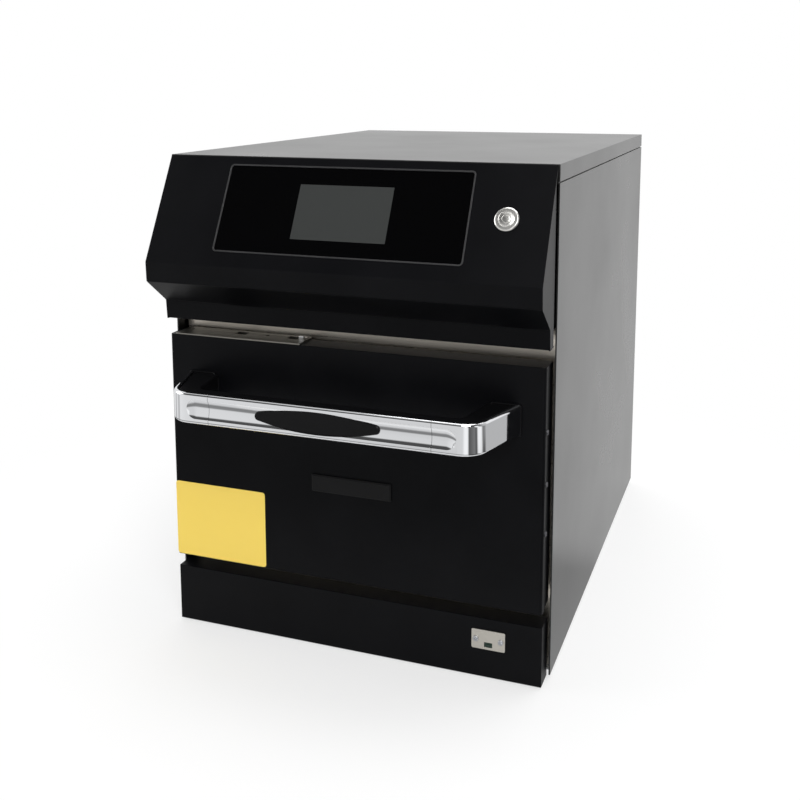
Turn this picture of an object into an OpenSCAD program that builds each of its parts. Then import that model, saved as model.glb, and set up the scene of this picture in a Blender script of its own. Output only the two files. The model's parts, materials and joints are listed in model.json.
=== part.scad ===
// Bench-top high-speed oven: folded sheet cabinet, slanted control head,
// drop-down insulated door with a wrap-round handle, and the working parts
// inside (cavity, air jets, fan, heater, microwave feed, boards, cooling).
// Millimetres, +X right, +Y to the rear, +Z up, floor at z = 0.

/* [Cabinet] */
// Outside width over the side panels
body_w = 400; // [380:1:420]
// Depth of the side panels, front edge to rear edge
body_d = 540; // [500:1:580]
// Height of the top cover above the floor
body_h = 496; // [480:1:520]
// Height of the rubber feet
foot_h = 6; // [4:0.5:12]
// Radius of the rubber feet
foot_r = 17; // [12:1:22]
// Cabinet sheet thickness
sheet = 1.5; // [1:0.1:2]
// Depth of the turned-down edge of the top cover
cover_lip = 16; // [12:1:24]
// Assembly clearance between separate pieces
fit_gap = 0.3; // [0.2:0.05:0.5]

/* [Control head] */
// How far the nose of the head stands in front of the side panels
nose_out = 56; // [40:1:70]
// Drop of the slanted face, from the cover down to the nose crease
slant_drop = 101; // [90:1:112]
// Height of the flat nose band
nose_band = 19.5; // [12:0.5:26]
// Height of the undercut below the nose band
undercut = 25; // [18:0.5:32]
// Height of the lower band of the head, below the undercut
chin_band = 19.5; // [14:0.5:24]
// Width of the touch glass
glass_w = 252.5; // [230:0.5:270]
// Height of the touch glass along the slant
glass_h = 92; // [80:0.5:98]
// Width of the lit display window
display_w = 96; // [80:1:120]
// Height of the lit display window
display_h = 56; // [45:1:70]
// Distance of the power switch from the right edge of the head
switch_in = 39.9; // [30:0.1:46]
// Radius of the power switch flange
switch_r = 11.4; // [9:0.1:13]
// Travel of the power button
button_travel = 2; // [1:0.1:2.5]

/* [Door] */
// Step from the cabinet side to the edge of the door and the kick panel
door_side = 4.5; // [3:0.5:8]
// Height of the lower edge of the door
door_z0 = 76; // [74:1:84]
// Gap between the upper edge of the door and the head
head_gap = 16; // [12:0.5:22]
// How far the door stands in front of the side panels
door_out = 20.5; // [18:0.5:26]
// Thickness of the door without its plug
door_t = 32; // [26:1:34]
// Hinge axis behind the outer face of the door
hinge_back = 18; // [14:1:19]
// Hinge axis above the lower edge of the door
hinge_up = 8; // [7:1:12]
// Radius of the hinge pins
pin_r = 4; // [3:0.5:5]

/* [Handle] */
// Distance of the handle centre below the upper edge of the door
handle_drop = 51; // [40:0.5:80]
// Height of the chrome shell
handle_h = 30; // [24:1:36]
// Distance from the door to the front of the handle
handle_out = 73.5; // [60:0.5:85]
// Distance from the edge of the door to the foot of the handle
handle_in = 22; // [16:0.5:36]
// How far each leg spreads from its front corner to the door
leg_spread = 16; // [6:0.5:26]
// Radius of the front corners
handle_r = 24; // [16:1:28]
// Distance from the front corner to the seam of the centre bar
seam_in = 47; // [36:0.5:60]
// Length of the grip inset
grip_l = 124; // [90:1:150]
// Height of the grip inset
grip_h = 21; // [14:0.5:23]

/* [Cavity] */
// Room between the cavity wall and the front posts
cavity_side = 18.5; // [16:0.5:40]
// Height of the cavity floor above the lower edge of the door
cavity_low = 30; // [26:1:40]
// Depth of the cavity roof below the upper edge of the door
cavity_top = 28; // [24:1:40]
// Room behind the cavity for the fan, its motor and the wiring
rear_room = 192.5; // [185:0.5:230]
// Clearance round the convection fan wheel in its box
wheel_gap = 14; // [12:0.5:30]
// Depth of the box that holds the convection fan
plenum_d = 62; // [58:1:70]
// Thickness of the fibre lagging behind and above the cavity
lagging = 22; // [16:1:30]

/* [Hidden] */
$fn = 64;
gland_out = 15;
front_y = (door_out + handle_out - gland_out - body_d) / 2;
rear_y = front_y + body_d;
half_w = body_w / 2;
inner_x = half_w - sheet - fit_gap;
cover_z = body_h - cover_lip;
panel_top = cover_z - 1;
nose_z = body_h - 1 - slant_drop;
chin_z = nose_z - nose_band - undercut - chin_band;

// Outer line of the control head, (y, z) from the top edge to the bottom lip.
head_line = [
    [front_y - 1.8, body_h - 1],
    [front_y - nose_out, nose_z],
    [front_y - nose_out + 0.7, nose_z - nose_band],
    [front_y - door_out - 1.5, nose_z - nose_band - undercut],
    [front_y - door_out, chin_z],
    [front_y - 6, chin_z]
];
head_half = half_w - 1.5;
slant_run = head_line[0][0] - head_line[1][0];
slant = atan(slant_run / slant_drop);
glass_top = 7.5;
slant_mid = glass_top + glass_h / 2;
switch_x = head_half - switch_in;
glass_x = -1.75;
glass_t = 4;
glass_set = 0.6;
button_r = 7;
barrel_r = 9.4;
board_w = display_w + 54;
board_h = glass_h - 8;
board_in = 5;
board_t = 1.6;

door_half = half_w - door_side;
door_z1 = chin_z - head_gap;
door_y = front_y - door_out;
door_back = door_y + door_t;
skin_lip = 10.5;
skin_side = door_t - 5;
hinge_y = door_y + hinge_back;
hinge_z = door_z0 + hinge_up;
ear_t = 8;
ear_r = pin_r + 3;

frame_y = door_back + 4.5;
frame_t = 1.2;
frame_top = chin_z + 20;
post_w = 17.8;
post_d = 18.5;
post_y = frame_y + frame_t + fit_gap;
post_x = inner_x - sheet - 0.4 - post_w;
frame_half = inner_x - sheet - 0.6;
ear_x = post_x - 4.5;
cavity_w = 2 * (post_x - cavity_side);
cavity_z = door_z0 + cavity_low;
cavity_h = door_z1 - cavity_top - cavity_z;
plug_w = cavity_w - 14;
plug_h = cavity_h - 14;
plug_t = 10.5;
hook_x = post_x - 8.5;
hook_z = cavity_z + cavity_h - 6;
latch_slots = [-124, -66];
latch_end = -50;
latch_t = 1.2;

handle_y = door_y - handle_out;
handle_z = door_z1 - handle_drop;
handle_foot = door_half - handle_in;
handle_half = handle_foot - leg_spread;
seam_x = handle_half - seam_in;
bar_d = 21;
leg_w = 33;
shell_t = 4.5;
core_h = handle_h - 3;
groove_r = 17.5;
groove_deep = 2.8;
groove_x = handle_half - handle_r - sqrt(pow(groove_r, 2) - pow(groove_r - groove_deep, 2));
grip_end = 4;
seat_t = 2;

kick_y = front_y - 18;
kick_z0 = 2;
kick_z1 = door_z0 - 14;
usb_x = door_half - 51.8;
usb_z = (kick_z0 + kick_z1) / 2 + 9;
usb_w = 33;
usb_screw = 12.3;
badge_x = 4;
badge_z = door_z0 + 99.8;
card_w = 103.5;
card_h = 80;
card_x = card_w / 2 + 0.75 - door_half;
card_z = door_z0 + 0.8 + card_h / 2;

liner_t = 1.2;
liner_y0 = frame_y + frame_t + fit_gap;
liner_y1 = rear_y - rear_room;
cavity_mid = cavity_z + cavity_h / 2;
plenum_y1 = liner_y1 + plenum_d;
plenum_x = cavity_w / 2 - 10;
wheel_r = cavity_h / 2 - 2 - wheel_gap;
inlet_r = wheel_r - 16;
guard_x = floor((inlet_r - 1) / 14);
guard_z = floor((inlet_r - 6) / 15);
jets_x = floor((cavity_w / 2 - 30) / 40);
jets_y = floor((liner_y1 - liner_y0 - 65) / 40);
heater_r = wheel_r + 8.5;
lead_z = heater_r - 22.5;
lead_x = plenum_x - 50;
leads = [lead_x - 8, lead_x + 8];
wheel_y = liner_y1 + 12;
wheel_d = 34;
shaft_r = 5;
lag_y1 = plenum_y1 + lagging;
lag_z0 = cavity_z - 26;
lag_z1 = cavity_z + cavity_h + lagging + 6;
shelf_z = lag_z1 + sheet;
motor_y = lag_y1 + sheet;
guide_x = 48;
guide_y0 = front_y + 160;
guide_y1 = guide_y0 + 100;
guide_z1 = shelf_z + 36.5;
yoke = [92, 72, 62];
trafo = [86, 56, 72];
trafo_x = 70.2 - inner_x;
drive_board = [116, 156, 1.6];
drive_x = guide_x + 12 + drive_board[0] / 2;
fan_w = 120;
fan_x = 78;
fan_z = (shelf_z + body_h - sheet) / 2;
grille_r = 54;
vent_x = inner_x - 68.2;
screw_x = inner_x - 10.2;
screw_z = [for (i = [0 : 3]) foot_h + 18 + i * (cover_z - foot_h - 36) / 3];
foot_x = half_w - 50;
foot_in = 65;
gland_x = 48.2 - inner_x;
gland_z = 48;
cord_r = 5;

// Sub-part to show

// ---------------------------------------------------------------- helpers

// Unit normal on the left of the line a-b.
function left_normal(a, b) = let (d = b - a) [-d[1], d[0]] / norm(d);

// A polyline moved sideways by t with mitred corners.
function beside(p, t) = [
    for (i = [0 : len(p) - 1])
        let (
            n1 = left_normal(p[max(i - 1, 0)], p[max(i, 1)]),
            n2 = left_normal(p[min(i, len(p) - 2)], p[min(i + 1, len(p) - 1)])
        )
        p[i] + t * (n1 + n2) / (1 + n1 * n2)
];

function backwards(p) = [for (i = [len(p) - 1 : -1 : 0]) p[i]];

// Point where the tangent from p touches the circle (c, r); side is 1 or -1.
function touch(p, c, r, side) =
    let (d = p - c, a = atan2(d[1], d[0]) + side * acos(r / norm(d)))
    c + r * [cos(a), sin(a)];

// Extrude a (y, z) outline along X, centred on x.
module along_x(w, x = 0)
    translate([x - w / 2, 0, 0]) rotate([90, 0, 90]) linear_extrude(w) children();

// Sheet folded along a (y, z) polyline.
module folded(path, t, w, x = 0)
    along_x(w, x) polygon(concat(path, backwards(beside(path, t))));

// Box given by its low and high corners.
module span(low, high) translate(low) cube(high - low);

// The same thing on the left and on the right.
module both() {
    children();
    mirror([1, 0, 0]) children();
}

// Flat plate with rounded corners, centred, from z = 0 up to t.
module round_plate(w, h, r, t)
    linear_extrude(t) {
        square([w - 2 * r, h], center = true);
        square([w, h - 2 * r], center = true);
        for (x = [-1, 1], y = [-1, 1])
            translate([x * (w / 2 - r), y * (h / 2 - r)]) circle(r);
    }

// Rod along Y from y0 to y1.
module rod_y(r, y0, y1, x = 0, z = 0)
    translate([x, y0, z]) rotate([-90, 0, 0]) cylinder(h = y1 - y0, r = r);

// Rod along X from x0 to x1.
module rod_x(r, x0, x1, y = 0, z = 0)
    translate([x0, y, z]) rotate([0, 90, 0]) cylinder(h = x1 - x0, r = r);

// Local frame on the slanted face: x right, y up the slant, z outward.
module on_slant(x, s)
    translate([0, head_line[0][0], head_line[0][1]])
        rotate([90 - slant, 0, 0]) translate([x, -s, 0]) children();

// Local frame on an upright front face: x right, y up, z forward.
module on_front(x, y, z) translate([x, y, z]) rotate([90, 0, 0]) children();

// Pan-head screw lying on z = 0 with a cross recess.
module screw_head(r, h)
    difference() {
        union() {
            cylinder(h = h * 0.6, r = r);
            translate([0, 0, h * 0.6]) cylinder(h = h * 0.4, r1 = r, r2 = r * 0.72);
        }
        for (a = [0, 90])
            rotate(a) translate([-r * 0.5, -r * 0.11, h * 0.45]) cube([r, r * 0.22, h]);
    }

// ---------------------------------------------------------------- cabinet

module feet()
    color("#1c1c1c") for (x = [-foot_x, foot_x], y = [front_y + foot_in, rear_y - foot_in])
        translate([x, y, 0]) difference() {
            union() {
                cylinder(h = 2, r1 = foot_r - 2, r2 = foot_r);
                translate([0, 0, 2]) cylinder(h = foot_h - 2, r = foot_r);
            }
            translate([0, 0, -1]) cylinder(h = 3.5, r = 6);
        }

module base_pan()
    color("#8f9293") {
        span([-inner_x, front_y + 9, foot_h], [inner_x, rear_y - sheet - fit_gap, foot_h + sheet]);
        span([-door_half + 2, kick_y + sheet + fit_gap, foot_h],
             [door_half - 2, front_y + 9, foot_h + sheet]);
        span([-door_half + 2, kick_y + sheet + fit_gap, foot_h],
             [door_half - 2, kick_y + 2 * sheet + fit_gap, foot_h + 16]);
        span([-inner_x, rear_y - 2 * sheet - fit_gap, foot_h],
             [inner_x, rear_y - sheet - fit_gap, foot_h + 16]);
        both() span([inner_x - sheet, front_y + 9, foot_h],
                    [inner_x, rear_y - sheet - fit_gap, foot_h + 16]);
    }

// Side sheet with an inward step under the edge of the top cover.
module side_panel() {
    span([half_w - sheet, front_y, foot_h], [half_w, rear_y, panel_top]);
    span([inner_x - sheet, front_y + 1.8, panel_top - sheet],
         [half_w - 0.1, rear_y - 1.8, panel_top]);
    span([inner_x - sheet, front_y + 1.8, panel_top - sheet],
         [inner_x, rear_y - 1.8, body_h - sheet - 0.2]);
}

module side_panel_left() color("#6d6e70") mirror([1, 0, 0]) side_panel();

module side_panel_right() color("#6d6e70") side_panel();

module top_cover()
    color("#77787a") difference() {
        span([-half_w, front_y, cover_z], [half_w, rear_y, body_h]);
        span([-half_w + sheet, front_y + sheet, cover_z - 1],
             [half_w - sheet, rear_y - sheet, body_h - sheet]);
    }

// Rear sheet: exhaust grille for the cooling fan, air inlet, cord entry.
module rear_panel()
    color("#3a3b3d") difference() {
        span([-inner_x, rear_y - sheet, foot_h + fit_gap], [inner_x, rear_y, cover_z - fit_gap]);
        for (i = [-4 : 4])
            let (half = sqrt(pow(grille_r, 2) - pow(11 * i, 2)))
            span([fan_x - half, rear_y - 5, fan_z + 11 * i - 3],
                 [fan_x + half, rear_y + 5, fan_z + 11 * i + 3]);
        for (i = [0 : 9], x = [60, 130])
            span([x - 30, rear_y - 5, 60 + 12 * i], [x + 30, rear_y + 5, 64 + 12 * i]);
        rod_y(10.2, rear_y - 5, rear_y + 5, gland_x, gland_z);
    }

module rear_screws()
    color("#c8c9ca") for (x = [-screw_x, screw_x], z = screw_z)
        on_front(x, rear_y, z) mirror([0, 0, 1]) screw_head(3.6, 2);

// Upright channels behind the sides of the front frame, open to the rear.
module front_posts()
    color("#151517") both() difference() {
        span([post_x, post_y, foot_h + sheet], [post_x + post_w, post_y + post_d, cover_z - 4]);
        span([post_x + sheet, post_y + sheet, 0],
             [post_x + post_w - sheet, post_y + post_d + 10, body_h]);
    }

module front_frame()
    color("#b9bab8") difference() {
        span([-frame_half, frame_y, foot_h + sheet], [frame_half, frame_y + frame_t, frame_top]);
        span([-cavity_w / 2, frame_y - 1, cavity_z],
             [cavity_w / 2, frame_y + 5, cavity_z + cavity_h]);
        both() {
            span([ear_x - ear_t / 2 - 0.6, frame_y - 1, hinge_z - ear_r - 0.6],
                 [ear_x + ear_t / 2 + 0.6, frame_y + 5, hinge_z + ear_r + 0.6]);
            span([hook_x - 5, frame_y - 1, hook_z - 8], [hook_x + 5, frame_y + 5, hook_z + 14]);
        }
    }

module kick_panel()
    color("#121316") difference() {
        span([-door_half, kick_y, kick_z0], [door_half, kick_y + 24, kick_z1]);
        span([-door_half + sheet, kick_y + sheet, kick_z0 - 1],
             [door_half - sheet, kick_y + 30, kick_z1 - sheet]);
        span([usb_x - 6, kick_y - 1, usb_z - 9.5], [usb_x + 6, kick_y + 5, usb_z - 0.5]);
    }

module usb_plate()
    color("#cfcabc") on_front(usb_x, kick_y, usb_z) difference() {
        round_plate(usb_w, 19.5, 1.5, 1.2);
        translate([-4, -7.4, -1]) cube([8, 5, 5]);
        for (x = [-usb_screw, usb_screw]) translate([x, 0, -1]) cylinder(h = 5, r = 1.6);
    }

module usb_plate_screws()
    color("#d9d9d6") for (x = [-usb_screw, usb_screw])
        on_front(usb_x + x, kick_y - 1.2, usb_z) {
            screw_head(2.7, 1.4);
            translate([0, 0, -1.2]) cylinder(h = 1.3, r = 1.5);
        }

// Service port behind the plate, closed by a soft cap with a pull rib.
module usb_port_cap()
    color("#20372c") on_front(usb_x, kick_y, usb_z - 4.9) {
        translate([-5.7, -4.3, -16]) cube([11.4, 8.6, 15.8]);
        translate([-3.8, -2.3, -1]) cube([7.6, 4.6, 1.9]);
        translate([-2.4, -0.5, 0.8]) cube([4.8, 1, 0.9]);
    }

// Cord entry: flange outside, threaded barrel, nut inside, clear bore.
module cable_gland()
    color("#202020") difference() {
        union() {
            rod_y(14, rear_y, rear_y + 5, gland_x, gland_z);
            translate([gland_x, rear_y + gland_out, gland_z]) rotate([90, 0, 0])
                cylinder(h = gland_out - 5, r1 = 9.4, r2 = 12);
            rod_y(10, rear_y - 14, rear_y + 1, gland_x, gland_z);
            translate([gland_x, rear_y - sheet, gland_z]) rotate([90, 0, 0])
                cylinder(h = 5, r = 14, $fn = 6);
        }
        rod_y(cord_r, rear_y - 20, rear_y + 20, gland_x, gland_z);
    }

// ----------------------------------------------------------- control head

module control_fascia()
    color("#0f1012") difference() {
        union() {
            folded(head_line, sheet, 2 * head_half);
            both() along_x(sheet, head_half - sheet / 2) polygon([
                head_line[0] + [-4.4, -8.2],
                head_line[1], head_line[2], head_line[3], head_line[4],
                [front_y - 8, chin_z],
                [front_y - 8, body_h - 15]
            ]);
        }
        on_slant(glass_x, slant_mid) translate([0, 0, -5])
            round_plate(glass_w, glass_h, 4, 10);
        on_slant(switch_x, slant_mid) translate([0, 0, -5]) cylinder(h = 10, r = barrel_r + 0.2);
    }

// Angle brackets that carry the head on the front posts.
module fascia_brackets()
    color("#2a2b2d") both() {
        along_x(2, head_half - sheet - fit_gap - 1) polygon([
            [front_y - nose_out + 10, nose_z - 14], [front_y - nose_out + 10, nose_z - 4],
            [front_y - 13, body_h - 44], [frame_y - fit_gap, body_h - 44],
            [frame_y - fit_gap, chin_z + 15], [front_y - 14, chin_z + 15],
            [front_y - 16, chin_z + 26]
        ]);
        span([post_x + 2, frame_y - fit_gap - 2, chin_z + 15],
             [head_half - sheet - fit_gap - 1, frame_y - fit_gap, body_h - 44]);
    }

// Thin lip round the glass opening.
module glass_bezel()
    color("#2c2d30") on_slant(glass_x, slant_mid) translate([0, 0, -glass_set - glass_t])
        difference() {
            round_plate(glass_w - 0.2, glass_h - 0.2, 4, glass_set + glass_t + 0.3);
            translate([0, 0, -1]) round_plate(glass_w - 3, glass_h - 3, 2.6, 10);
        }

module touch_glass()
    color("#050506") on_slant(glass_x, slant_mid) translate([0, 0, -glass_set - glass_t])
        difference() {
            round_plate(glass_w - 3.2, glass_h - 3.2, 2.5, glass_t);
            translate([1.25, -1, -1]) round_plate(display_w + 0.2, display_h + 0.2, 0.6, 10);
        }

// Display module: the window stands in the glass, its body lies behind.
module display_screen()
    color("#414447") on_slant(glass_x, slant_mid) translate([1.25, -1, -glass_set - glass_t]) {
        round_plate(display_w, display_h, 0.5, glass_t - 0.05);
        translate([0, 0, -6]) round_plate(display_w + 10, display_h + 12, 1, 5.9);
        translate([0, 0, -1]) round_plate(display_w - 6, display_h - 6, 1, 2);
    }

// The four screw places of the main board.
module board_corners()
    for (x = [-1, 1], y = [-1, 1])
        translate([x * (board_w / 2 - board_in), y * (board_h / 2 - board_in), 0]) children();

// Main board behind the display, with its connectors and mounting posts.
module control_board()
    color("#1d5b34") on_slant(glass_x, slant_mid)
        translate([0, 0, -glass_set - glass_t - 12.8]) {
            difference() {
                translate([-board_w / 2, -board_h / 2, 0]) cube([board_w, board_h, board_t]);
                board_corners() translate([0, 0, -1]) cylinder(h = 5, r = 1.6);
            }
            board_corners() translate([0, 0, board_t]) difference() {
                cylinder(h = 11.2, r = 3);
                translate([0, 0, -1]) cylinder(h = 8, r = 1.6);
            }
            for (x = [-40, -10, 20]) translate([x, 4 - board_h / 2, -9]) cube([22, 8, 9]);
            translate([-24, -12, -2.4]) cube([22, 22, 2.4]);
            translate([-1, -9, 1.6]) cube([14, 16, 5.2]);
        }

// Round metal switch: flange outside, barrel through the panel, hex nut.
module switch_body()
    color("#c4c6c8") on_slant(switch_x, slant_mid) difference() {
        union() {
            cylinder(h = 1.1, r = switch_r);
            translate([0, 0, 1.1]) cylinder(h = 0.8, r1 = switch_r, r2 = switch_r - 1.2);
            translate([0, 0, -30]) cylinder(h = 30.5, r = barrel_r);
            translate([0, 0, -sheet - 3.2]) cylinder(h = 3, r = 13.5, $fn = 6);
        }
        translate([0, 0, -12]) cylinder(h = 20, r = button_r + 0.08);
        translate([0, 0, 1.4]) cylinder(h = 2, r1 = button_r + 0.08, r2 = button_r + 1.2);
    }

// Domed push button that slides in the switch barrel.
module power_button()
    color("#d4d6d8") on_slant(switch_x, slant_mid) difference() {
        union() {
            translate([0, 0, -9.5]) cylinder(h = 11, r = button_r);
            translate([0, 0, 1.5]) intersection() {
                cylinder(h = 3, r = button_r);
                translate([0, 0, 0.9 - 28]) sphere(r = 28);
            }
        }
        translate([0, 0, 1.9]) difference() {
            cylinder(h = 3, r = 4.4);
            translate([0, 0, -1]) cylinder(h = 5, r = 3.7);
        }
    }

// ------------------------------------------------------------------- door

// Outer door skin: rounded upright edges, deep returns at the top and the
// sides, a short one below.
module door_skin()
    color("#0e0f11") difference() {
        translate([0, 0, door_z0]) linear_extrude(door_z1 - door_z0) {
            translate([-door_half, door_y + 3]) square([2 * door_half, skin_side - 3]);
            translate([-door_half + 3, door_y]) square([2 * door_half - 6, skin_side]);
            for (x = [-1, 1]) translate([x * (door_half - 3), door_y + 3]) circle(3);
        }
        span([-door_half + sheet, door_y + sheet, door_z0 + sheet],
             [door_half - sheet, door_back, door_z1 - sheet]);
        span([-half_w, door_y + skin_lip, door_z0 - 1], [half_w, door_back, door_z0 + 2.5]);
        for (x = latch_slots)
            span([x - 7, door_y + 15, door_z1 - 5], [x + 7, door_back, door_z1 + 1]);
    }

// Stainless inner pan with the plug that closes the cavity mouth.
module door_inner_pan()
    color("#b4b5b3") difference() {
        union() {
            span([-door_half + 3.5, door_y + 4, door_z0 + 2.5],
                 [door_half - 3.5, door_back, door_z1 - 2.5]);
            span([-plug_w / 2, door_back - 1, cavity_mid - plug_h / 2],
                 [plug_w / 2, door_back + plug_t, cavity_mid + plug_h / 2]);
        }
        span([-door_half + 4.7, door_y, door_z0 + 3.7],
             [door_half - 4.7, door_back - 1.2, door_z1 - 3.7]);
        span([-plug_w / 2 + 1.2, door_y, cavity_mid - plug_h / 2 + 1.2],
             [plug_w / 2 - 1.2, door_back + plug_t - 1.2, cavity_mid + plug_h / 2 - 1.2]);
        both() span([ear_x - 12.3, door_y, door_z0], [ear_x + 12.3, door_back + 1, hinge_z + 12]);
        for (x = latch_slots)
            span([x - 7, door_y + 15, door_z1 - 5], [x + 7, door_back - 5, door_z1]);
    }

// Fibre block between the skin and the pan.
module door_insulation()
    color("#c9bd9a") difference() {
        union() {
            span([-door_half + 5, door_y + sheet + fit_gap, door_z0 + 4],
                 [door_half - 5, door_back - 1.5, door_z1 - 12]);
            span([-plug_w / 2 + 1.5, door_back - 2, cavity_mid - plug_h / 2 + 1.5],
                 [plug_w / 2 - 1.5, door_back + plug_t - 1.5, cavity_mid + plug_h / 2 - 1.5]);
        }
        both() span([ear_x - 12.6, door_y, door_z0 - 1], [ear_x + 30, door_back + 1, hinge_z + 12.3]);
    }

// Choke cover: polymer frame round the plug.
module choke_frame()
    color("#2b2a28") difference() {
        span([-plug_w / 2 - 9, door_back, cavity_mid - plug_h / 2 - 9],
             [plug_w / 2 + 9, door_back + 1.6, cavity_mid + plug_h / 2 + 9]);
        span([-plug_w / 2 - 0.2, door_y, cavity_mid - plug_h / 2 - 0.2],
             [plug_w / 2 + 0.2, door_back + 5, cavity_mid + plug_h / 2 + 0.2]);
    }

// Folded striker strip on the top edge of the door, on the left.
module latch_plate()
    color("#a6a7a4") difference() {
        union() {
            span([-door_half + 6, door_y + 0.6, door_z1 + 0.1],
                 [latch_end, door_back - 2, door_z1 + latch_t + 0.1]);
            span([-door_half + 6, door_back - 2 - latch_t, door_z1 - 2.4],
                 [latch_end, door_back - 2, door_z1 + latch_t]);
        }
        for (x = latch_slots)
            span([x - 6, door_y + 16, door_z1 - 5], [x + 6, door_back - 6, door_z1 + 5]);
        rod_hole(-door_half + 14);
        rod_hole((latch_slots[0] + latch_slots[1]) / 2);
    }

module rod_hole(x)
    translate([x, door_y + skin_lip + 10, door_z1 - 1]) cylinder(h = 5, r = 2.2);

// Bright catch beside the right slot of the striker strip.
module latch_hook()
    color("#e6e6e2") {
        span([latch_end - 7, door_y + 14, door_z1 + latch_t + 0.1],
             [latch_end - 2, door_back - 6, door_z1 + 2 * latch_t + 0.1]);
        span([latch_end - 7, door_y + 14, door_z1 + latch_t + 0.1],
             [latch_end - 2, door_y + 17, door_z1 + latch_t + 4.4]);
    }

// Interlock hooks that reach through the front frame when the door is shut.
module door_hooks()
    color("#d8d8d2") both() {
        span([hook_x - 3, door_back, hook_z - 5], [hook_x + 3, frame_y + 14, hook_z + 3]);
        span([hook_x - 3, frame_y + 9, hook_z - 5], [hook_x + 3, frame_y + 14, hook_z + 6]);
        span([hook_x - 6.2, door_back, hook_z - 7], [hook_x + 6.2, door_back + 1.5, hook_z + 7]);
    }

module door_side_screws()
    color("#b9babc") both() for (z = [78, 126, 176])
        translate([door_half, door_y + 6.5, door_z0 + z]) rotate([0, 90, 0]) screw_head(2.6, 1.4);

// Fixed ears on the cabinet; each reaches through the frame to the axis.
module hinge_brackets()
    color("#85888a") both() difference() {
        union() {
            rod_x(ear_r, ear_x - ear_t / 2, ear_x + ear_t / 2, hinge_y, hinge_z);
            span([ear_x - ear_t / 2, hinge_y, hinge_z - ear_r],
                 [ear_x + ear_t / 2, frame_y + frame_t + 4, hinge_z + ear_r]);
            span([cavity_w / 2 + 2, frame_y + frame_t + fit_gap, hinge_z - 30],
                 [post_x - fit_gap, frame_y + frame_t + 4, hinge_z + 14]);
        }
        rod_x(pin_r + 0.06, ear_x - 40, ear_x + 40, hinge_y, hinge_z);
    }

// Door side of the hinges: a plate on each side of every ear.
module hinge_plates()
    color("#7d8082") both() difference() {
        for (x = [ear_x - 12, ear_x + ear_t / 2 + 1])
            span([x, hinge_y - 6.8, door_z0 + 2], [x + 7, door_back - 0.5, hinge_z + 11.7]);
        rod_x(pin_r + 0.02, ear_x - 40, ear_x + 40, hinge_y, hinge_z);
    }

module hinge_pins()
    color("#d0d2d4") both() rod_x(pin_r, ear_x - 12, ear_x + 12, hinge_y, hinge_z);

// ----------------------------------------------------------------- handle

// Plan outline of the handle, drawn in by the distance d.
module handle_plan(d) {
    r = handle_r - d;
    c = [handle_half - handle_r, handle_y + handle_r];
    foot = [handle_foot - d, door_y];
    corner = touch(foot, c, r, -1);
    polygon([
        foot, [-foot[0], foot[1]], [-corner[0], corner[1]], [-c[0], c[1]],
        [-c[0], handle_y + d], [c[0], handle_y + d], c, corner
    ]);
    for (x = [-1, 1]) translate([x * c[0], c[1]]) circle(r);
}

// Space behind the bar, between the legs.
module handle_gap() {
    r = 9;
    c = [handle_half - leg_w, handle_y + bar_d + r];
    foot = [handle_foot - leg_w, door_y + 1];
    corner = touch(foot, c, r, -1);
    polygon([
        foot, [-foot[0], foot[1]], [-corner[0], corner[1]], [-c[0], c[1]],
        [-c[0], handle_y + bar_d], [c[0], handle_y + bar_d], c, corner
    ]);
    for (x = [-1, 1]) translate([x * c[0], c[1]]) circle(r);
}

// Long oval outline of the grip inset, grown by g: two wide arcs, round ends.
module grip_outline(g) {
    c = grip_l / 2 - grip_end;
    r = grip_end + g;
    h = grip_h / 2 + g;
    wide = (c * c + h * h - r * r) / (2 * (h - r));
    intersection() {
        translate([0, h - wide]) circle(wide, $fn = 192);
        translate([0, wide - h]) circle(wide, $fn = 192);
        square([2 * c * wide / (wide - r), 3 * h], center = true);
    }
    for (x = [-c, c]) translate([x, 0]) circle(r);
}

// Shallow channel along the front of the shell with bullet ends.
module handle_groove() {
    y = handle_y + groove_deep - groove_r;
    rod_x(groove_r, -groove_x, groove_x, y, handle_z);
    for (x = [-groove_x, groove_x]) translate([x, y, handle_z]) sphere(r = groove_r);
}

module handle_core()
    color("#17181a") translate([0, 0, handle_z - core_h / 2]) linear_extrude(core_h)
        difference() {
            handle_plan(shell_t + 0.1);
            handle_gap();
            translate([-half_w, door_y - seat_t - 0.05]) square([body_w, 10]);
        }

// Chrome shell over the front and the outer sides of the core.
module handle_shell()
    difference() {
        translate([0, 0, handle_z - handle_h / 2]) linear_extrude(handle_h) difference() {
            handle_plan(0);
            handle_plan(shell_t);
        }
        handle_groove();
        on_front(0, handle_y + 10, handle_z) linear_extrude(20) grip_outline(0.2);
    }

module handle_bar()
    color("#dcdee0") intersection() {
        handle_shell();
        span([-seam_x, handle_y - 5, 0], [seam_x, door_y, body_h]);
    }

module handle_end_left()
    color("#d6d8da") intersection() {
        handle_shell();
        span([-half_w, handle_y - 5, 0], [-seam_x - 0.3, door_y - seat_t - 0.05, body_h]);
    }

module handle_end_right()
    color("#d6d8da") intersection() {
        handle_shell();
        span([seam_x + 0.3, handle_y - 5, 0], [half_w, door_y - seat_t - 0.05, body_h]);
    }

module handle_grip()
    color("#0b0b0c") on_front(0, handle_y + shell_t, handle_z)
        linear_extrude(shell_t - 0.6) grip_outline(0);

// Black seats between the handle legs and the door, upper corners cut off.
module handle_bases()
    color("#1a1b1d") both() on_front(handle_foot - 15, door_y, handle_z)
        linear_extrude(seat_t) polygon([
            [-18.5, -15], [15, -15], [15, 13], [13, 15], [-12.5, 15], [-18.5, 9]
        ]);

// -------------------------------------------------------------- door trim

module badge_plate()
    color("#141416") on_front(badge_x, door_y, badge_z) {
        round_plate(84, 17.5, 0.8, 1.6);
        translate([0, 0, 1.6]) round_plate(82, 15.5, 0.8, 0.6);
    }

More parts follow.
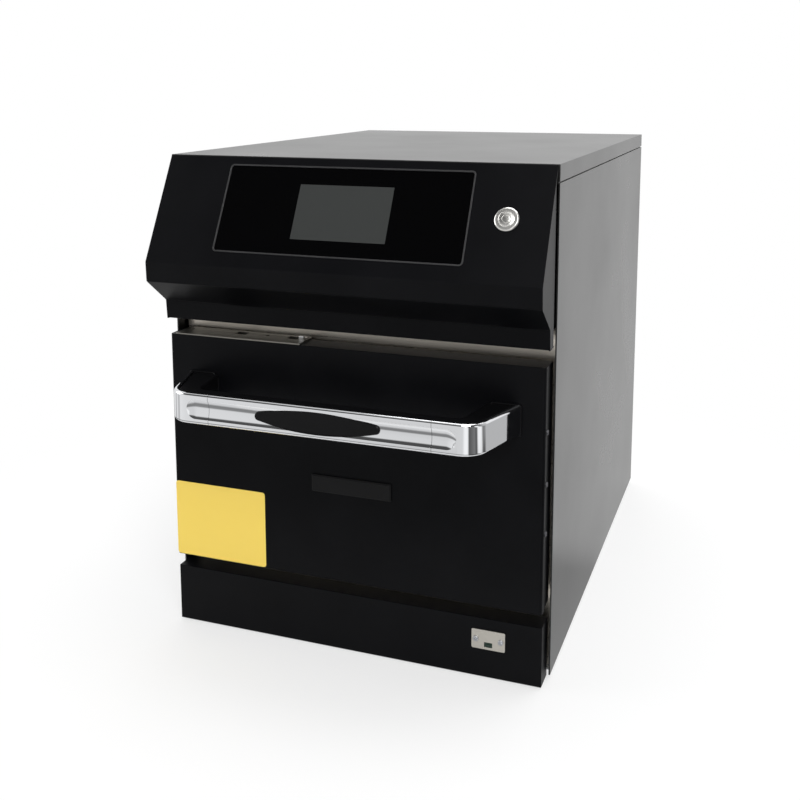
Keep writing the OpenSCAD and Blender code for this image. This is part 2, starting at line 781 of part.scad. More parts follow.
module care_card()
    color("#f2c21a") on_front(card_x, door_y, card_z) round_plate(card_w, card_h, 3, 0.3);

// ----------------------------------------------------------------- cavity

// Stainless liner open to the front, with a flange round its mouth.
module cavity_liner()
    color("#bfc0be") difference() {
        union() {
            span([-cavity_w / 2 - liner_t, liner_y0, cavity_z - liner_t],
                 [cavity_w / 2 + liner_t, liner_y1 + liner_t, cavity_z + cavity_h + liner_t]);
            difference() {
                span([-cavity_w / 2 - 6, liner_y0, cavity_z - 7],
                     [cavity_w / 2 + 6, liner_y0 + liner_t, cavity_z + cavity_h + 7]);
                both() span([hook_x - 5, liner_y0 - 1, hook_z - 8],
                            [hook_x + 5, liner_y0 + 5, hook_z + 14]);
            }
        }
        span([-cavity_w / 2, liner_y0 - 1, cavity_z], [cavity_w / 2, liner_y1, cavity_z + cavity_h]);
        rod_y(inlet_r, liner_y1 - 5, liner_y1 + 5, 0, cavity_mid);
        for (x = [45 - plenum_x, plenum_x - 45])
            span([x - 30, liner_y1 - 1, cavity_z + cavity_h - 16],
                 [x + 30, liner_y1 + 5, cavity_z + cavity_h - 4]);
        span([-guide_x + 8, guide_y0 + 8, cavity_z + cavity_h - 1],
             [guide_x - 8, guide_y1 - 8, cavity_z + cavity_h + 5]);
    }

module ceramic_floor()
    color("#e4e2da") span([-cavity_w / 2 + 4, liner_y0 + 14, cavity_z],
                          [cavity_w / 2 - 4, liner_y1 - 6, cavity_z + 6]);

// Lift-out rack: frame of thick rod on four legs, cross wires between.
module wire_rack()
    color("#c9cac8") {
        z = cavity_z + 24;
        y0 = liner_y0 + 32;
        y1 = liner_y1 - 32;
        x = cavity_w / 2 - 12;
        for (side = [-1, 1], y = [y0 + 20, y1 - 20])
            translate([side * x, y, cavity_z + 6.1]) cylinder(h = z - cavity_z - 6.1, r = 2);
        for (side = [-1, 1]) rod_y(2.5, y0, y1, side * x, z);
        for (y = [y0, y1]) {
            rod_x(2.5, -x, x, y, z);
            for (side = [-1, 1]) translate([side * x, y, z]) sphere(r = 3);
        }
        for (i = [1 : 12]) rod_x(1.6, -x + 0.7, x - 0.7, y0 + i * (y1 - y0) / 13, z + 0.4);
    }

// Perforated plate that turns the hot air into downward jets.
module jet_plate()
    color("#a9aba9") difference() {
        union() {
            span([-cavity_w / 2 + 3, liner_y0 + 18, cavity_z + cavity_h - 22],
                 [cavity_w / 2 - 3, liner_y1 - 1, cavity_z + cavity_h - 20.8]);
            both() span([cavity_w / 2 - 4.2, liner_y0 + 18, cavity_z + cavity_h - 22],
                        [cavity_w / 2 - 3, liner_y1 - 1, cavity_z + cavity_h - 0.2]);
            span([-cavity_w / 2 + 3, liner_y0 + 18, cavity_z + cavity_h - 22],
                 [cavity_w / 2 - 3, liner_y0 + 19.2, cavity_z + cavity_h - 0.2]);
        }
        for (i = [-jets_x : jets_x], j = [0 : jets_y])
            translate([i * 40, liner_y0 + 45 + j * 40, cavity_z + cavity_h - 30])
                cylinder(h = 15, r = 6, $fn = 32);
    }

// Perforated guard over the fan inlet in the rear wall.
module fan_baffle()
    color("#a4a6a4") difference() {
        span([-inlet_r - 12, liner_y1 - 1.4, cavity_mid - inlet_r - 4],
             [inlet_r + 12, liner_y1 - 0.2, cavity_mid + inlet_r + 4]);
        for (i = [-guard_x : guard_x], j = [-guard_z : guard_z])
            rod_y(4.5, liner_y1 - 5, liner_y1 + 5, i * 14, cavity_mid + j * 15, $fn = 24);
    }

// Box behind the rear wall that holds the fan wheel and the heater.
module fan_plenum()
    color("#a9aba9") difference() {
        span([-plenum_x, liner_y1 + liner_t + 0.2, cavity_z + 2],
             [plenum_x, plenum_y1, cavity_z + cavity_h - 2]);
        span([-plenum_x + liner_t, liner_y1 - 5, cavity_z + 2 + liner_t],
             [plenum_x - liner_t, plenum_y1 - liner_t, cavity_z + cavity_h - 2 - liner_t]);
        rod_y(shaft_r + 3, plenum_y1 - 5, plenum_y1 + 5, 0, cavity_mid);
        for (x = leads) rod_y(3.6, plenum_y1 - 5, plenum_y1 + 5, x, cavity_mid + lead_z);
    }

// Sheathed element in two turns round the fan, with both ends led out.
module heater_ring()
    color("#6b5d54") {
        for (y = [wheel_y + 6, wheel_y + 22])
            translate([0, y, cavity_mid]) rotate([90, 0, 0])
                rotate_extrude() translate([heater_r, 0]) circle(r = 3, $fn = 24);
        rod_y(3, wheel_y + 6, wheel_y + 22, 0, cavity_mid - heater_r, $fn = 24);
        for (x = leads) {
            rod_y(3, wheel_y + 26, lag_y1 + 14, x, cavity_mid + lead_z, $fn = 24);
            rod_x(3, sqrt(pow(heater_r, 2) - pow(lead_z, 2)) + 1.4, x, wheel_y + 26,
                  cavity_mid + lead_z, $fn = 24);
        }
    }

// Convection wheel: back disc, ring, twelve blades and the motor shaft.
module fan_wheel()
    color("#b6b8b6") {
        rod_y(wheel_r, wheel_y + wheel_d - 1.5, wheel_y + wheel_d, 0, cavity_mid);
        rod_y(14, wheel_y + 10, wheel_y + wheel_d, 0, cavity_mid);
        rod_y(shaft_r, wheel_y + 10, motor_y + 50, 0, cavity_mid);
        difference() {
            rod_y(wheel_r, wheel_y, wheel_y + 1.2, 0, cavity_mid);
            rod_y(inlet_r, wheel_y - 5, wheel_y + 5, 0, cavity_mid);
        }
        for (i = [0 : 11])
            translate([0, wheel_y, cavity_mid]) rotate([0, 30 * i, 0])
                translate([wheel_r - 17, 0, 0]) rotate([0, 28, 0])
                    translate([-1, 0.2, -0.6]) cube([15, wheel_d - 1, 1.2]);
    }

// Motor outside the lagging, with end bells and a clear shaft bore.
module fan_motor()
    color("#5d6164") difference() {
        union() {
            rod_y(34, motor_y, motor_y + 8, 0, cavity_mid);
            rod_y(40, motor_y + 8, motor_y + 44, 0, cavity_mid);
            rod_y(34, motor_y + 44, motor_y + 56, 0, cavity_mid);
            span([-52, motor_y, cavity_mid - 9], [52, motor_y + 2.5, cavity_mid + 9]);
        }
        rod_y(shaft_r + 0.08, motor_y - 5, motor_y + 51, 0, cavity_mid);
    }

// Fibre lagging round the liner and the plenum.
module cavity_lagging()
    color("#d8cfae") difference() {
        span([-inner_x + 4, frame_y + 22, lag_z0], [inner_x - 4, lag_y1, lag_z1]);
        span([-cavity_w / 2 - 1.5, frame_y, cavity_z - 1.5],
             [cavity_w / 2 + 1.5, liner_y1 + liner_t + 0.1, cavity_z + cavity_h + 1.5]);
        span([-plenum_x - 0.2, liner_y1, cavity_z + 1.8],
             [plenum_x + 0.2, plenum_y1 + 0.2, cavity_z + cavity_h - 1.8]);
        rod_y(shaft_r + 3, plenum_y1 - 5, lag_y1 + 5, 0, cavity_mid);
        for (x = leads) rod_y(3.3, plenum_y1 - 5, lag_y1 + 5, x, cavity_mid + lead_z);
        span([-guide_x - 0.2, guide_y0 - 0.2, cavity_z + cavity_h],
             [guide_x + 0.2, guide_y1 + 0.2, lag_z1 + 5]);
    }

// ------------------------------------------------------------ electronics

// Steel shelf over the lagging; its rear part also carries the fan motor.
module chassis_shelf()
    color("#9b9d9e") difference() {
        union() {
            span([-inner_x, frame_y + 22, lag_z1], [inner_x, rear_y - sheet - fit_gap, shelf_z]);
            span([-inner_x + 1.8, lag_y1, foot_h + sheet], [inner_x - 1.8, lag_y1 + sheet, shelf_z]);
        }
        span([-guide_x - 0.2, guide_y0 - 0.2, lag_z1 - 5],
             [guide_x + 0.2, guide_y1 + 0.2, shelf_z + 5]);
        rod_y(shaft_r + 3, lag_y1 - 5, lag_y1 + 5, 0, cavity_mid);
        for (x = leads) rod_y(3.6, lag_y1 - 5, lag_y1 + 5, x, cavity_mid + lead_z);
        for (x = [-vent_x, vent_x])
            span([x - 40, lag_y1 + 25, lag_z1 - 5], [x + 40, lag_y1 + 45, shelf_z + 5]);
    }

// Rectangular guide that feeds the cavity roof from the magnetron.
module waveguide()
    color("#b2b4b5") difference() {
        span([-guide_x, guide_y0, cavity_z + cavity_h + liner_t + 0.1],
             [guide_x, guide_y1, guide_z1]);
        span([-guide_x + 1.5, guide_y0 + 1.5, cavity_z + cavity_h - 5],
             [guide_x - 1.5, guide_y1 - 1.5, guide_z1 - 1.5]);
        translate([0, (guide_y0 + guide_y1) / 2, guide_z1 - 5]) cylinder(h = 10, r = 16);
    }

// Magnetron: yoke, cooling fins, filter box, antenna inside the guide.
module magnetron()
    color("#8d9193") translate([0, (guide_y0 + guide_y1) / 2, guide_z1 + 0.1]) {
        difference() {
            translate([-yoke[0] / 2, -yoke[1] / 2, 0]) cube(yoke);
            translate([4 - yoke[0] / 2, -yoke[1], 3]) cube([yoke[0] - 8, 2 * yoke[1], yoke[2] - 6]);
        }
        translate([0, 0, 3]) cylinder(h = yoke[2] - 6, r = 15);
        for (i = [0 : 5])
            translate([4 - yoke[0] / 2, 8 - yoke[1] / 2, 9 + 8 * i])
                cube([yoke[0] - 8, yoke[1] - 16, 1]);
        translate([14 - yoke[0] / 2, 10 - yoke[1] / 2, yoke[2]])
            cube([yoke[0] - 28, yoke[1] - 20, 28]);
        translate([0, 0, -18]) cylinder(h = 19, r = 9);
        translate([0, 0, -18]) sphere(r = 9);
    }

// High-voltage transformer: laminated core, two coils, foot plate.
module hv_transformer()
    color("#5b4a3c") translate([trafo_x, front_y + 340, shelf_z]) {
        translate([-trafo[0] / 2 - 3, -trafo[1] / 2 - 8, 0])
            cube([trafo[0] + 6, trafo[1] + 16, 3]);
        difference() {
            translate([-trafo[0] / 2, -trafo[1] / 2, 3]) cube(trafo);
            for (x = [-18, 18]) translate([x - 9, -trafo[1], 17]) cube([18, 2 * trafo[1], 44]);
        }
        for (x = [-18, 18])
            translate([x, 0, 17]) for (y = [-trafo[1] / 2 - 5, trafo[1] / 2 + 0.2])
                translate([-9, y, 4]) cube([18, 4.8, 36]);
        for (x = [-18, 18])
            translate([x - 8.6, -trafo[1] / 2 - 2, 21]) cube([17.2, trafo[1] + 4, 36]);
    }

module hv_capacitor()
    color("#b7babb") translate([trafo_x, front_y + 210, shelf_z]) {
        intersection() {
            translate([-26, -17, 0]) cube([52, 34, 84]);
            union() for (x = [-9, 9]) translate([x, 0, 0]) cylinder(h = 84, r = 17);
        }
        translate([-9, -17, 0]) cube([18, 34, 84]);
        for (x = [-10, 10]) translate([x, 0, 84]) cylinder(h = 9, r = 3);
    }

// Drive board on four posts with relays, filter coil and capacitors.
module power_board()
    color("#1f5e38") translate([drive_x, front_y + 210, shelf_z]) {
        for (x = [-1, 1], y = [-1, 1])
            translate([x * (drive_board[0] / 2 - 6), y * (drive_board[1] / 2 - 6), 0])
                cylinder(h = 10, r = 3.5);
        translate([-drive_board[0] / 2, -drive_board[1] / 2, 10]) cube(drive_board);
        for (i = [0 : 3]) translate([-50 + 26 * i, -66, 11.6]) cube([20, 16, 15]);
        for (x = [-34, -8]) translate([x, 10, 11.6]) cylinder(h = 32, r = 11);
        translate([28, 8, 11.6]) cylinder(h = 14, r = 17);
        translate([-40, -40, 11.6]) cube([36, 30, 24]);
        for (i = [0 : 4]) translate([6 + 9 * i, -40, 11.6]) cube([2, 30, 26]);
    }

// Cooling fan at the rear grille: square frame and motor spokes.
module cooling_fan_frame()
    color("#26272a") translate([fan_x, rear_y - sheet - 0.2, fan_z]) {
        difference() {
            translate([-fan_w / 2, -38, -fan_w / 2]) cube([fan_w, 38, fan_w]);
            translate([0, -40, 0]) rotate([-90, 0, 0]) cylinder(h = 50, r = fan_w / 2 - 3);
            for (x = [8 - fan_w / 2, fan_w / 2 - 8], z = [8 - fan_w / 2, fan_w / 2 - 8])
                translate([x, -40, z]) rotate([-90, 0, 0]) cylinder(h = 50, r = 2.2);
        }
        translate([0, -5, 0]) rotate([-90, 0, 0]) cylinder(h = 4, r = 22);
        for (a = [0 : 90 : 270]) rotate([0, a, 0]) translate([18, -4.5, -2]) cube([fan_w / 2 - 20, 3, 4]);
        translate([0, -34, 0]) rotate([-90, 0, 0]) cylinder(h = 30, r = 2);
    }

// Impeller of the cooling fan: hub cup and seven pitched blades.
module cooling_fan_rotor()
    color("#303236") translate([fan_x, rear_y - sheet - 0.2, fan_z]) {
        difference() {
            translate([0, -34, 0]) rotate([-90, 0, 0]) cylinder(h = 27, r = 21);
            translate([0, -35, 0]) rotate([-90, 0, 0]) cylinder(h = 40, r = 2.06);
        }
        for (i = [0 : 6])
            rotate([0, i * 360 / 7, 0]) translate([20, -20, 0]) rotate([38, 0, 0])
                translate([0, -13, -1]) cube([fan_w / 2 - 26, 26, 2]);
    }

// Door switches above the two hook slots.
module interlock_switches()
    color("#33363a") both() {
        span([hook_x - 6, frame_y + frame_t + 0.2, hook_z + 16],
             [hook_x + 6, frame_y + 19, hook_z + 34]);
        span([hook_x - 2, frame_y + 8, hook_z + 13], [hook_x + 2, frame_y + 12, hook_z + 16.5]);
    }

feet();
base_pan();
side_panel_left();
side_panel_right();
top_cover();
rear_panel();
rear_screws();
front_posts();
front_frame();
kick_panel();
usb_plate();
usb_plate_screws();
usb_port_cap();
cable_gland();
control_fascia();
fascia_brackets();
glass_bezel();
touch_glass();
display_screen();
control_board();
switch_body();
power_button();
door_skin();
door_inner_pan();
door_insulation();
choke_frame();
latch_plate();
latch_hook();
door_hooks();
door_side_screws();
hinge_brackets();
hinge_plates();
hinge_pins();
handle_core();
handle_bar();
handle_end_left();
handle_end_right();
handle_grip();
handle_bases();
badge_plate();
care_card();
cavity_liner();
ceramic_floor();
wire_rack();
jet_plate();
fan_baffle();
fan_plenum();
heater_ring();
fan_wheel();
fan_motor();
cavity_lagging();
chassis_shelf();
waveguide();
magnetron();
hv_transformer();
hv_capacitor();
power_board();
cooling_fan_frame();
cooling_fan_rotor();
interlock_switches();
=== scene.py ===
"""Looks of the bench-top high-speed oven: finishes, softened sheet edges, screws and studio."""
import sys
import json
import logging
import math
from dataclasses import dataclass
from enum import Enum

import bmesh
import bpy
from mathutils import Matrix, Vector

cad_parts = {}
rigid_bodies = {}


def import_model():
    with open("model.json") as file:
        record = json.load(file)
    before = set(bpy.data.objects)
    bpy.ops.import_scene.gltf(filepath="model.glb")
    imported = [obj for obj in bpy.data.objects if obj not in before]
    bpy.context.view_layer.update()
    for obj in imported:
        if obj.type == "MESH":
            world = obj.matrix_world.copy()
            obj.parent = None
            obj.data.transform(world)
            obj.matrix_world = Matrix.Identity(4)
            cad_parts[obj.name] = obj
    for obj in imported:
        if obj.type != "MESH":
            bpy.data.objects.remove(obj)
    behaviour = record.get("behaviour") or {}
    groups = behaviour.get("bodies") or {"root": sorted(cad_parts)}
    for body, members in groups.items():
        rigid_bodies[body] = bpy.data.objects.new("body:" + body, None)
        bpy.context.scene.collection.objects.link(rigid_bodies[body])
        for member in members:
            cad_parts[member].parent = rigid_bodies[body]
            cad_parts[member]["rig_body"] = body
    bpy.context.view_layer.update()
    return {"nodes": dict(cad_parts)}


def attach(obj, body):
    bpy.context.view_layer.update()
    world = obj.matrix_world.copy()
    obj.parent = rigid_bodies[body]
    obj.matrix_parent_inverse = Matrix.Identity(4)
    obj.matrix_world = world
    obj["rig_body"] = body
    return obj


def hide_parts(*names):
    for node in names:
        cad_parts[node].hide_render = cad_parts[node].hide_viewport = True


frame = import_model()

LOG = logging.getLogger("oven")
MM = 0.001

# Corners of neighbouring CAD triangles nearer than this are one corner.
MERGE = 2e-6
# How strongly large faces lead the weighted normals, in percent.
LARGE_FACE_WEIGHT = 80
# How far brushed lines are drawn out along their axis.
DRAWN_OUT = 0.012
# Share of the noise that the gloss follows.
NOISE_LOW, NOISE_HIGH = 0.3, 0.7

# Azimuth in degrees and level of the bands that polished metal mirrors.
ROOM_BANDS = (
    (-180, 0.85), (-172, 0.4), (-165, 0.9), (-152, 0.45), (-146, 0.85), (-120, 0.78), (-100, 0.7),
    (-76, 0.72), (-69, 1.0), (-61, 1.0), (-57, 0.1), (-40, 0.2), (-33, 0.08), (-27, 1.0), (-15, 0.95),
    (-9, 0.22), (1, 0.3), (8, 0.5), (28, 0.5), (36, 0.9), (62, 1.0), (110, 1.0), (150, 0.85), (180, 0.85),
)
# Distance from the middle of the floor in metres and level of its mirrored rings.
FLOOR_BANDS = (
    (0.0, 0.6), (0.3, 0.6), (0.44, 0.9), (0.52, 0.9), (0.6, 0.3), (0.78, 0.35), (0.88, 0.9), (1.0, 1.0),
)


class Axis(Enum):
    """Direction along which a brushed or drawn surface is worked."""

    X = 0
    Y = 1


# ------------------------------------------------------------------ shader groups


def new_group(
    name: str, inputs: dict[str, tuple[str, float | tuple[float, float, float]]], outputs: dict[str, str]
) -> bpy.types.NodeTree:
    """Make an empty shader group with its sockets.

    Args:
        name: Name of the group.
        inputs: Socket name to (socket type, default value).
        outputs: Socket name to socket type.

    Returns:
        The new node tree, holding its input and output nodes.
    """
    tree = bpy.data.node_groups.new(name, "ShaderNodeTree")
    for key, (kind, value) in inputs.items():
        socket = tree.interface.new_socket(key, in_out="INPUT", socket_type=kind)
        socket.default_value = value
    for key, kind in outputs.items():
        tree.interface.new_socket(key, in_out="OUTPUT", socket_type=kind)
    tree.nodes.new("NodeGroupInput").location = (-900, 0)
    tree.nodes.new("NodeGroupOutput").location = (500, 0)
    return tree


def group_ends(tree: bpy.types.NodeTree) -> tuple[bpy.types.Node, bpy.types.Node]:
    """Find the two end nodes of a group.

    Args:
        tree: The group.

    Returns:
        Its input node and its output node.
    """
    source = next(n for n in tree.nodes if n.bl_idname == "NodeGroupInput")
    target = next(n for n in tree.nodes if n.bl_idname == "NodeGroupOutput")
    return source, target


def grey_ramp(tree: bpy.types.NodeTree, stops: list[tuple[float, float]]) -> bpy.types.Node:
    """Place a colour ramp of greys.

    Args:
        tree: The node tree it goes in.
        stops: Position and level of each stop, in order.

    Returns:
        The ramp node.
    """
    ramp = tree.nodes.new("ShaderNodeValToRGB")
    while len(ramp.color_ramp.elements) < len(stops):
        ramp.color_ramp.elements.new(0.5)
    for element, (place, level) in zip(ramp.color_ramp.elements, stops):
        element.position = place
        element.color = (level, level, level, 1.0)
    return ramp


def step_between(
    tree: bpy.types.NodeTree, source: bpy.types.NodeSocket, start: float, end: float, low: float, high: float
) -> bpy.types.NodeSocket:
    """Place a smooth step of one value between two levels.

    Args:
        tree: The node tree it goes in.
        source: The value.
        start: Value where the step starts.
        end: Value where it ends.
        low: Level before the start.
        high: Level past the end.

    Returns:
        The socket that gives the level.
    """
    node = tree.nodes.new("ShaderNodeMapRange")
    node.interpolation_type = "SMOOTHSTEP"
    node.inputs["From Min"].default_value = start
    node.inputs["From Max"].default_value = end
    node.inputs["To Min"].default_value = low
    node.inputs["To Max"].default_value = high
    tree.links.new(source, node.inputs["Value"])
    return node.outputs["Result"]


def joined(tree: bpy.types.NodeTree, operation: str, *sources: bpy.types.NodeSocket) -> bpy.types.NodeSocket:
    """Put one or two values through a math operation.

    Args:
        tree: The node tree it goes in.
        operation: Name of the operation.
        sources: The values.

    Returns:
        The socket that gives the result.
    """
    node = tree.nodes.new("ShaderNodeMath")
    node.operation = operation
    for source, target in zip(sources, node.inputs):
        tree.links.new(source, target)
    return node.outputs[0]


def coat_grain_group() -> bpy.types.NodeTree:
    """Build the fine orange-peel bump of powder coat and moulded plastic.

    Returns:
        Group with inputs Scale, Strength, Depth and output Normal.
    """
    tree = new_group(
        "coat_grain",
        {
            "Scale": ("NodeSocketFloat", 900.0),
            "Strength": ("NodeSocketFloat", 0.1),
            "Depth": ("NodeSocketFloat", 0.00005),
        },
        {"Normal": "NodeSocketVector"},
    )
    source, target = group_ends(tree)
    where = tree.nodes.new("ShaderNodeTexCoord")
    noise = tree.nodes.new("ShaderNodeTexNoise")
    noise.inputs["Detail"].default_value = 2.0
    bump = tree.nodes.new("ShaderNodeBump")
    tree.links.new(where.outputs["Object"], noise.inputs["Vector"])
    tree.links.new(source.outputs["Scale"], noise.inputs["Scale"])
    tree.links.new(noise.outputs["Fac"], bump.inputs["Height"])
    tree.links.new(source.outputs["Strength"], bump.inputs["Strength"])
    tree.links.new(source.outputs["Depth"], bump.inputs["Distance"])
    tree.links.new(bump.outputs["Normal"], target.inputs["Normal"])
    return tree


def cloudy_group() -> bpy.types.NodeTree:
    """Build a slow cloudy value for uneven gloss.

    Returns:
        Group with inputs Scale, Low, High and output Value.
    """
    tree = new_group(
        "cloudy_value",
        {
            "Scale": ("NodeSocketFloat", 6.0),
            "Low": ("NodeSocketFloat", 0.3),
            "High": ("NodeSocketFloat", 0.4),
        },
        {"Value": "NodeSocketFloat"},
    )
    source, target = group_ends(tree)
    where = tree.nodes.new("ShaderNodeTexCoord")
    noise = tree.nodes.new("ShaderNodeTexNoise")
    noise.inputs["Detail"].default_value = 3.0
    fit = tree.nodes.new("ShaderNodeMapRange")
    fit.inputs["From Min"].default_value = NOISE_LOW
    fit.inputs["From Max"].default_value = NOISE_HIGH
    tree.links.new(where.outputs["Object"], noise.inputs["Vector"])
    tree.links.new(source.outputs["Scale"], noise.inputs["Scale"])
    tree.links.new(noise.outputs["Fac"], fit.inputs["Value"])
    tree.links.new(source.outputs["Low"], fit.inputs["To Min"])
    tree.links.new(source.outputs["High"], fit.inputs["To Max"])
    tree.links.new(fit.outputs["Result"], target.inputs["Value"])
    return tree


def brush_lines_group(axis: Axis) -> bpy.types.NodeTree:
    """Build fine lines drawn along one axis, for brushed and rolled steel.

    Args:
        axis: The axis the lines run along.

    Returns:
        Group with inputs Scale, Low, High, Strength and outputs Value, Normal.
    """
    tree = new_group(
        f"brush_lines_{axis.name.lower()}",
        {
            "Scale": ("NodeSocketFloat", 700.0),
            "Low": ("NodeSocketFloat", 0.25),
            "High": ("NodeSocketFloat", 0.4),
            "Strength": ("NodeSocketFloat", 0.15),
        },
        {"Value": "NodeSocketFloat", "Normal": "NodeSocketVector"},
    )
    source, target = group_ends(tree)
    where = tree.nodes.new("ShaderNodeTexCoord")
    stretch = tree.nodes.new("ShaderNodeMapping")
    squeeze = [1.0, 1.0, 1.0]
    squeeze[axis.value] = DRAWN_OUT
    stretch.inputs["Scale"].default_value = squeeze
    noise = tree.nodes.new("ShaderNodeTexNoise")
    noise.inputs["Detail"].default_value = 4.0
    fit = tree.nodes.new("ShaderNodeMapRange")
    fit.inputs["From Min"].default_value = NOISE_LOW
    fit.inputs["From Max"].default_value = NOISE_HIGH
    bump = tree.nodes.new("ShaderNodeBump")
    bump.inputs["Distance"].default_value = 0.02 * MM
    tree.links.new(where.outputs["Object"], stretch.inputs["Vector"])
    tree.links.new(stretch.outputs["Vector"], noise.inputs["Vector"])
    tree.links.new(source.outputs["Scale"], noise.inputs["Scale"])
    tree.links.new(noise.outputs["Fac"], fit.inputs["Value"])
    tree.links.new(source.outputs["Low"], fit.inputs["To Min"])
    tree.links.new(source.outputs["High"], fit.inputs["To Max"])
    tree.links.new(noise.outputs["Fac"], bump.inputs["Height"])
    tree.links.new(source.outputs["Strength"], bump.inputs["Strength"])
    tree.links.new(fit.outputs["Result"], target.inputs["Value"])
    tree.links.new(bump.outputs["Normal"], target.inputs["Normal"])
    return tree


def room_bands_group() -> bpy.types.NodeTree:
    """Build the light and dark bands of the room round the oven, as seen in reflections.

    Returns:
        Group with input Vector, a direction or a place round the oven, and output Value.
    """
    tree = new_group(
        "room_bands", {"Vector": ("NodeSocketVector", (0.0, 0.0, 0.0))}, {"Value": "NodeSocketFloat"}
    )
    source, target = group_ends(tree)
    split = tree.nodes.new("ShaderNodeSeparateXYZ")
    angle = tree.nodes.new("ShaderNodeMath")
    angle.operation = "ARCTAN2"
    fit = tree.nodes.new("ShaderNodeMapRange")
    fit.inputs["From Min"].default_value = -math.pi
    fit.inputs["From Max"].default_value = math.pi
    ramp = grey_ramp(tree, [(degrees / 360 + 0.5, level) for degrees, level in ROOM_BANDS])
    tree.links.new(source.outputs["Vector"], split.inputs[0])
    tree.links.new(split.outputs["Y"], angle.inputs[0])
    tree.links.new(split.outputs["X"], angle.inputs[1])
    tree.links.new(angle.outputs[0], fit.inputs["Value"])
    tree.links.new(fit.outputs["Result"], ramp.inputs["Fac"])
    tree.links.new(ramp.outputs["Color"], target.inputs["Value"])
    return tree


# ------------------------------------------------------------------------ finishes


@dataclass(frozen=True)
class Finish:
    """A surface finish with a plain colour.

    Attributes:
        name: Material name.
        colour: Linear base colour.
        rough: Roughness, or the lowest roughness where it varies.
        metal: Metallic share.
        specular: Specular level of the shader.
    """

    name: str
    colour: tuple[float, float, float]
    rough: float = 0.4
    metal: float = 0.0
    specular: float = 0.5

    def material(self) -> bpy.types.Material:
        """Find the material, or make it on first use.

        Returns:
            The material, with its procedural nodes.
        """
        found = bpy.data.materials.get(self.name)
        if found:
            return found
        made = bpy.data.materials.new(self.name)
        made.use_nodes = True
        shader = made.node_tree.nodes["Principled BSDF"]
        shader.inputs["Base Color"].default_value = (*self.colour, 1.0)
        shader.inputs["Roughness"].default_value = self.rough
        shader.inputs["Metallic"].default_value = self.metal
        shader.inputs["Specular IOR Level"].default_value = self.specular
        made.diffuse_color = (*self.colour, 1.0)
        self.dress(made.node_tree, shader)
        return made

    def dress(self, tree: bpy.types.NodeTree, shader: bpy.types.Node) -> None:
        """Add what the finish has beyond its plain colour; nothing here.

        Args:
            tree: The material's node tree.
            shader: Its Principled BSDF.
        """

    def use_group(self, tree: bpy.types.NodeTree, group: str, **values: float) -> bpy.types.Node:
        """Place a shader group in a material and set its inputs.

        Args:
            tree: The material's node tree.
            group: Name of the group.
            values: Value of each input, by its name in small letters.

        Returns:
            The group node.
        """
        node = tree.nodes.new("ShaderNodeGroup")
        node.node_tree = bpy.data.node_groups[group]
        for key, value in values.items():
            node.inputs[key.capitalize()].default_value = value
        return node

    def tint(
        self,
        tree: bpy.types.NodeTree,
        shader: bpy.types.Node,
        other: tuple[float, float, float],
        scale: float,
    ) -> None:
        """Mix the base colour with another one in slow clouds.

        Args:
            tree: The material's node tree.
            shader: Its Principled BSDF.
            other: Linear colour mixed in.
            scale: Scale of the clouds.
        """
        cloud = self.use_group(tree, "cloudy_value", scale=scale, low=0.0, high=1.0)
        mix = tree.nodes.new("ShaderNodeMix")
        mix.data_type = "RGBA"
        mix.inputs["A"].default_value = (*self.colour, 1.0)
        mix.inputs["B"].default_value = (*other, 1.0)
        tree.links.new(cloud.outputs["Value"], mix.inputs["Factor"])
        tree.links.new(mix.outputs["Result"], shader.inputs["Base Color"])


@dataclass(frozen=True)
class PowderCoat(Finish):
    """Satin powder coat: fine orange peel and slightly uneven gloss.

    Attributes:
        spread: How much the roughness varies.
        grain: Strength of the orange peel.
        dust: Tone of the dusting against the colour.
        lift: Grey added by the dusting.
    """

    spread: float = 0.06
    grain: float = 0.12
    dust: float = 1.25
    lift: float = 0.001

    def dress(self, tree: bpy.types.NodeTree, shader: bpy.types.Node) -> None:
        """Add the orange peel, the uneven gloss and a faint dusting of tone.

        Args:
            tree: The material's node tree.
            shader: Its Principled BSDF.
        """
        peel = self.use_group(tree, "coat_grain", scale=1400.0, strength=self.grain, depth=0.00004)
        tree.links.new(peel.outputs["Normal"], shader.inputs["Normal"])
        most = self.rough + self.spread
        gloss = self.use_group(tree, "cloudy_value", scale=7.0, low=self.rough, high=most)
        tree.links.new(gloss.outputs["Value"], shader.inputs["Roughness"])
        self.tint(tree, shader, tuple(c * self.dust + self.lift for c in self.colour), scale=16.0)


@dataclass(frozen=True)
class BrushedSteel(Finish):
    """Steel drawn along one axis.

    Attributes:
        axis: The axis the lines run along.
        spread: How much the roughness varies.
        line: Strength of the lines.
        metal: Metallic share.
        tone: Tone of the darker clouds against the colour.
    """

    axis: Axis = Axis.X
    spread: float = 0.12
    line: float = 0.2
    metal: float = 1.0
    tone: float = 0.86

    def dress(self, tree: bpy.types.NodeTree, shader: bpy.types.Node) -> None:
        """Add the drawn lines to gloss and surface and a soft change of tone.

        Args:
            tree: The material's node tree.
            shader: Its Principled BSDF.
        """
        lines = self.use_group(
            tree, f"brush_lines_{self.axis.name.lower()}",
            scale=700.0, low=self.rough, high=self.rough + self.spread, strength=self.line,
        )
        tree.links.new(lines.outputs["Value"], shader.inputs["Roughness"])
        tree.links.new(lines.outputs["Normal"], shader.inputs["Normal"])
        self.tint(tree, shader, tuple(c * self.tone for c in self.colour), scale=9.0)


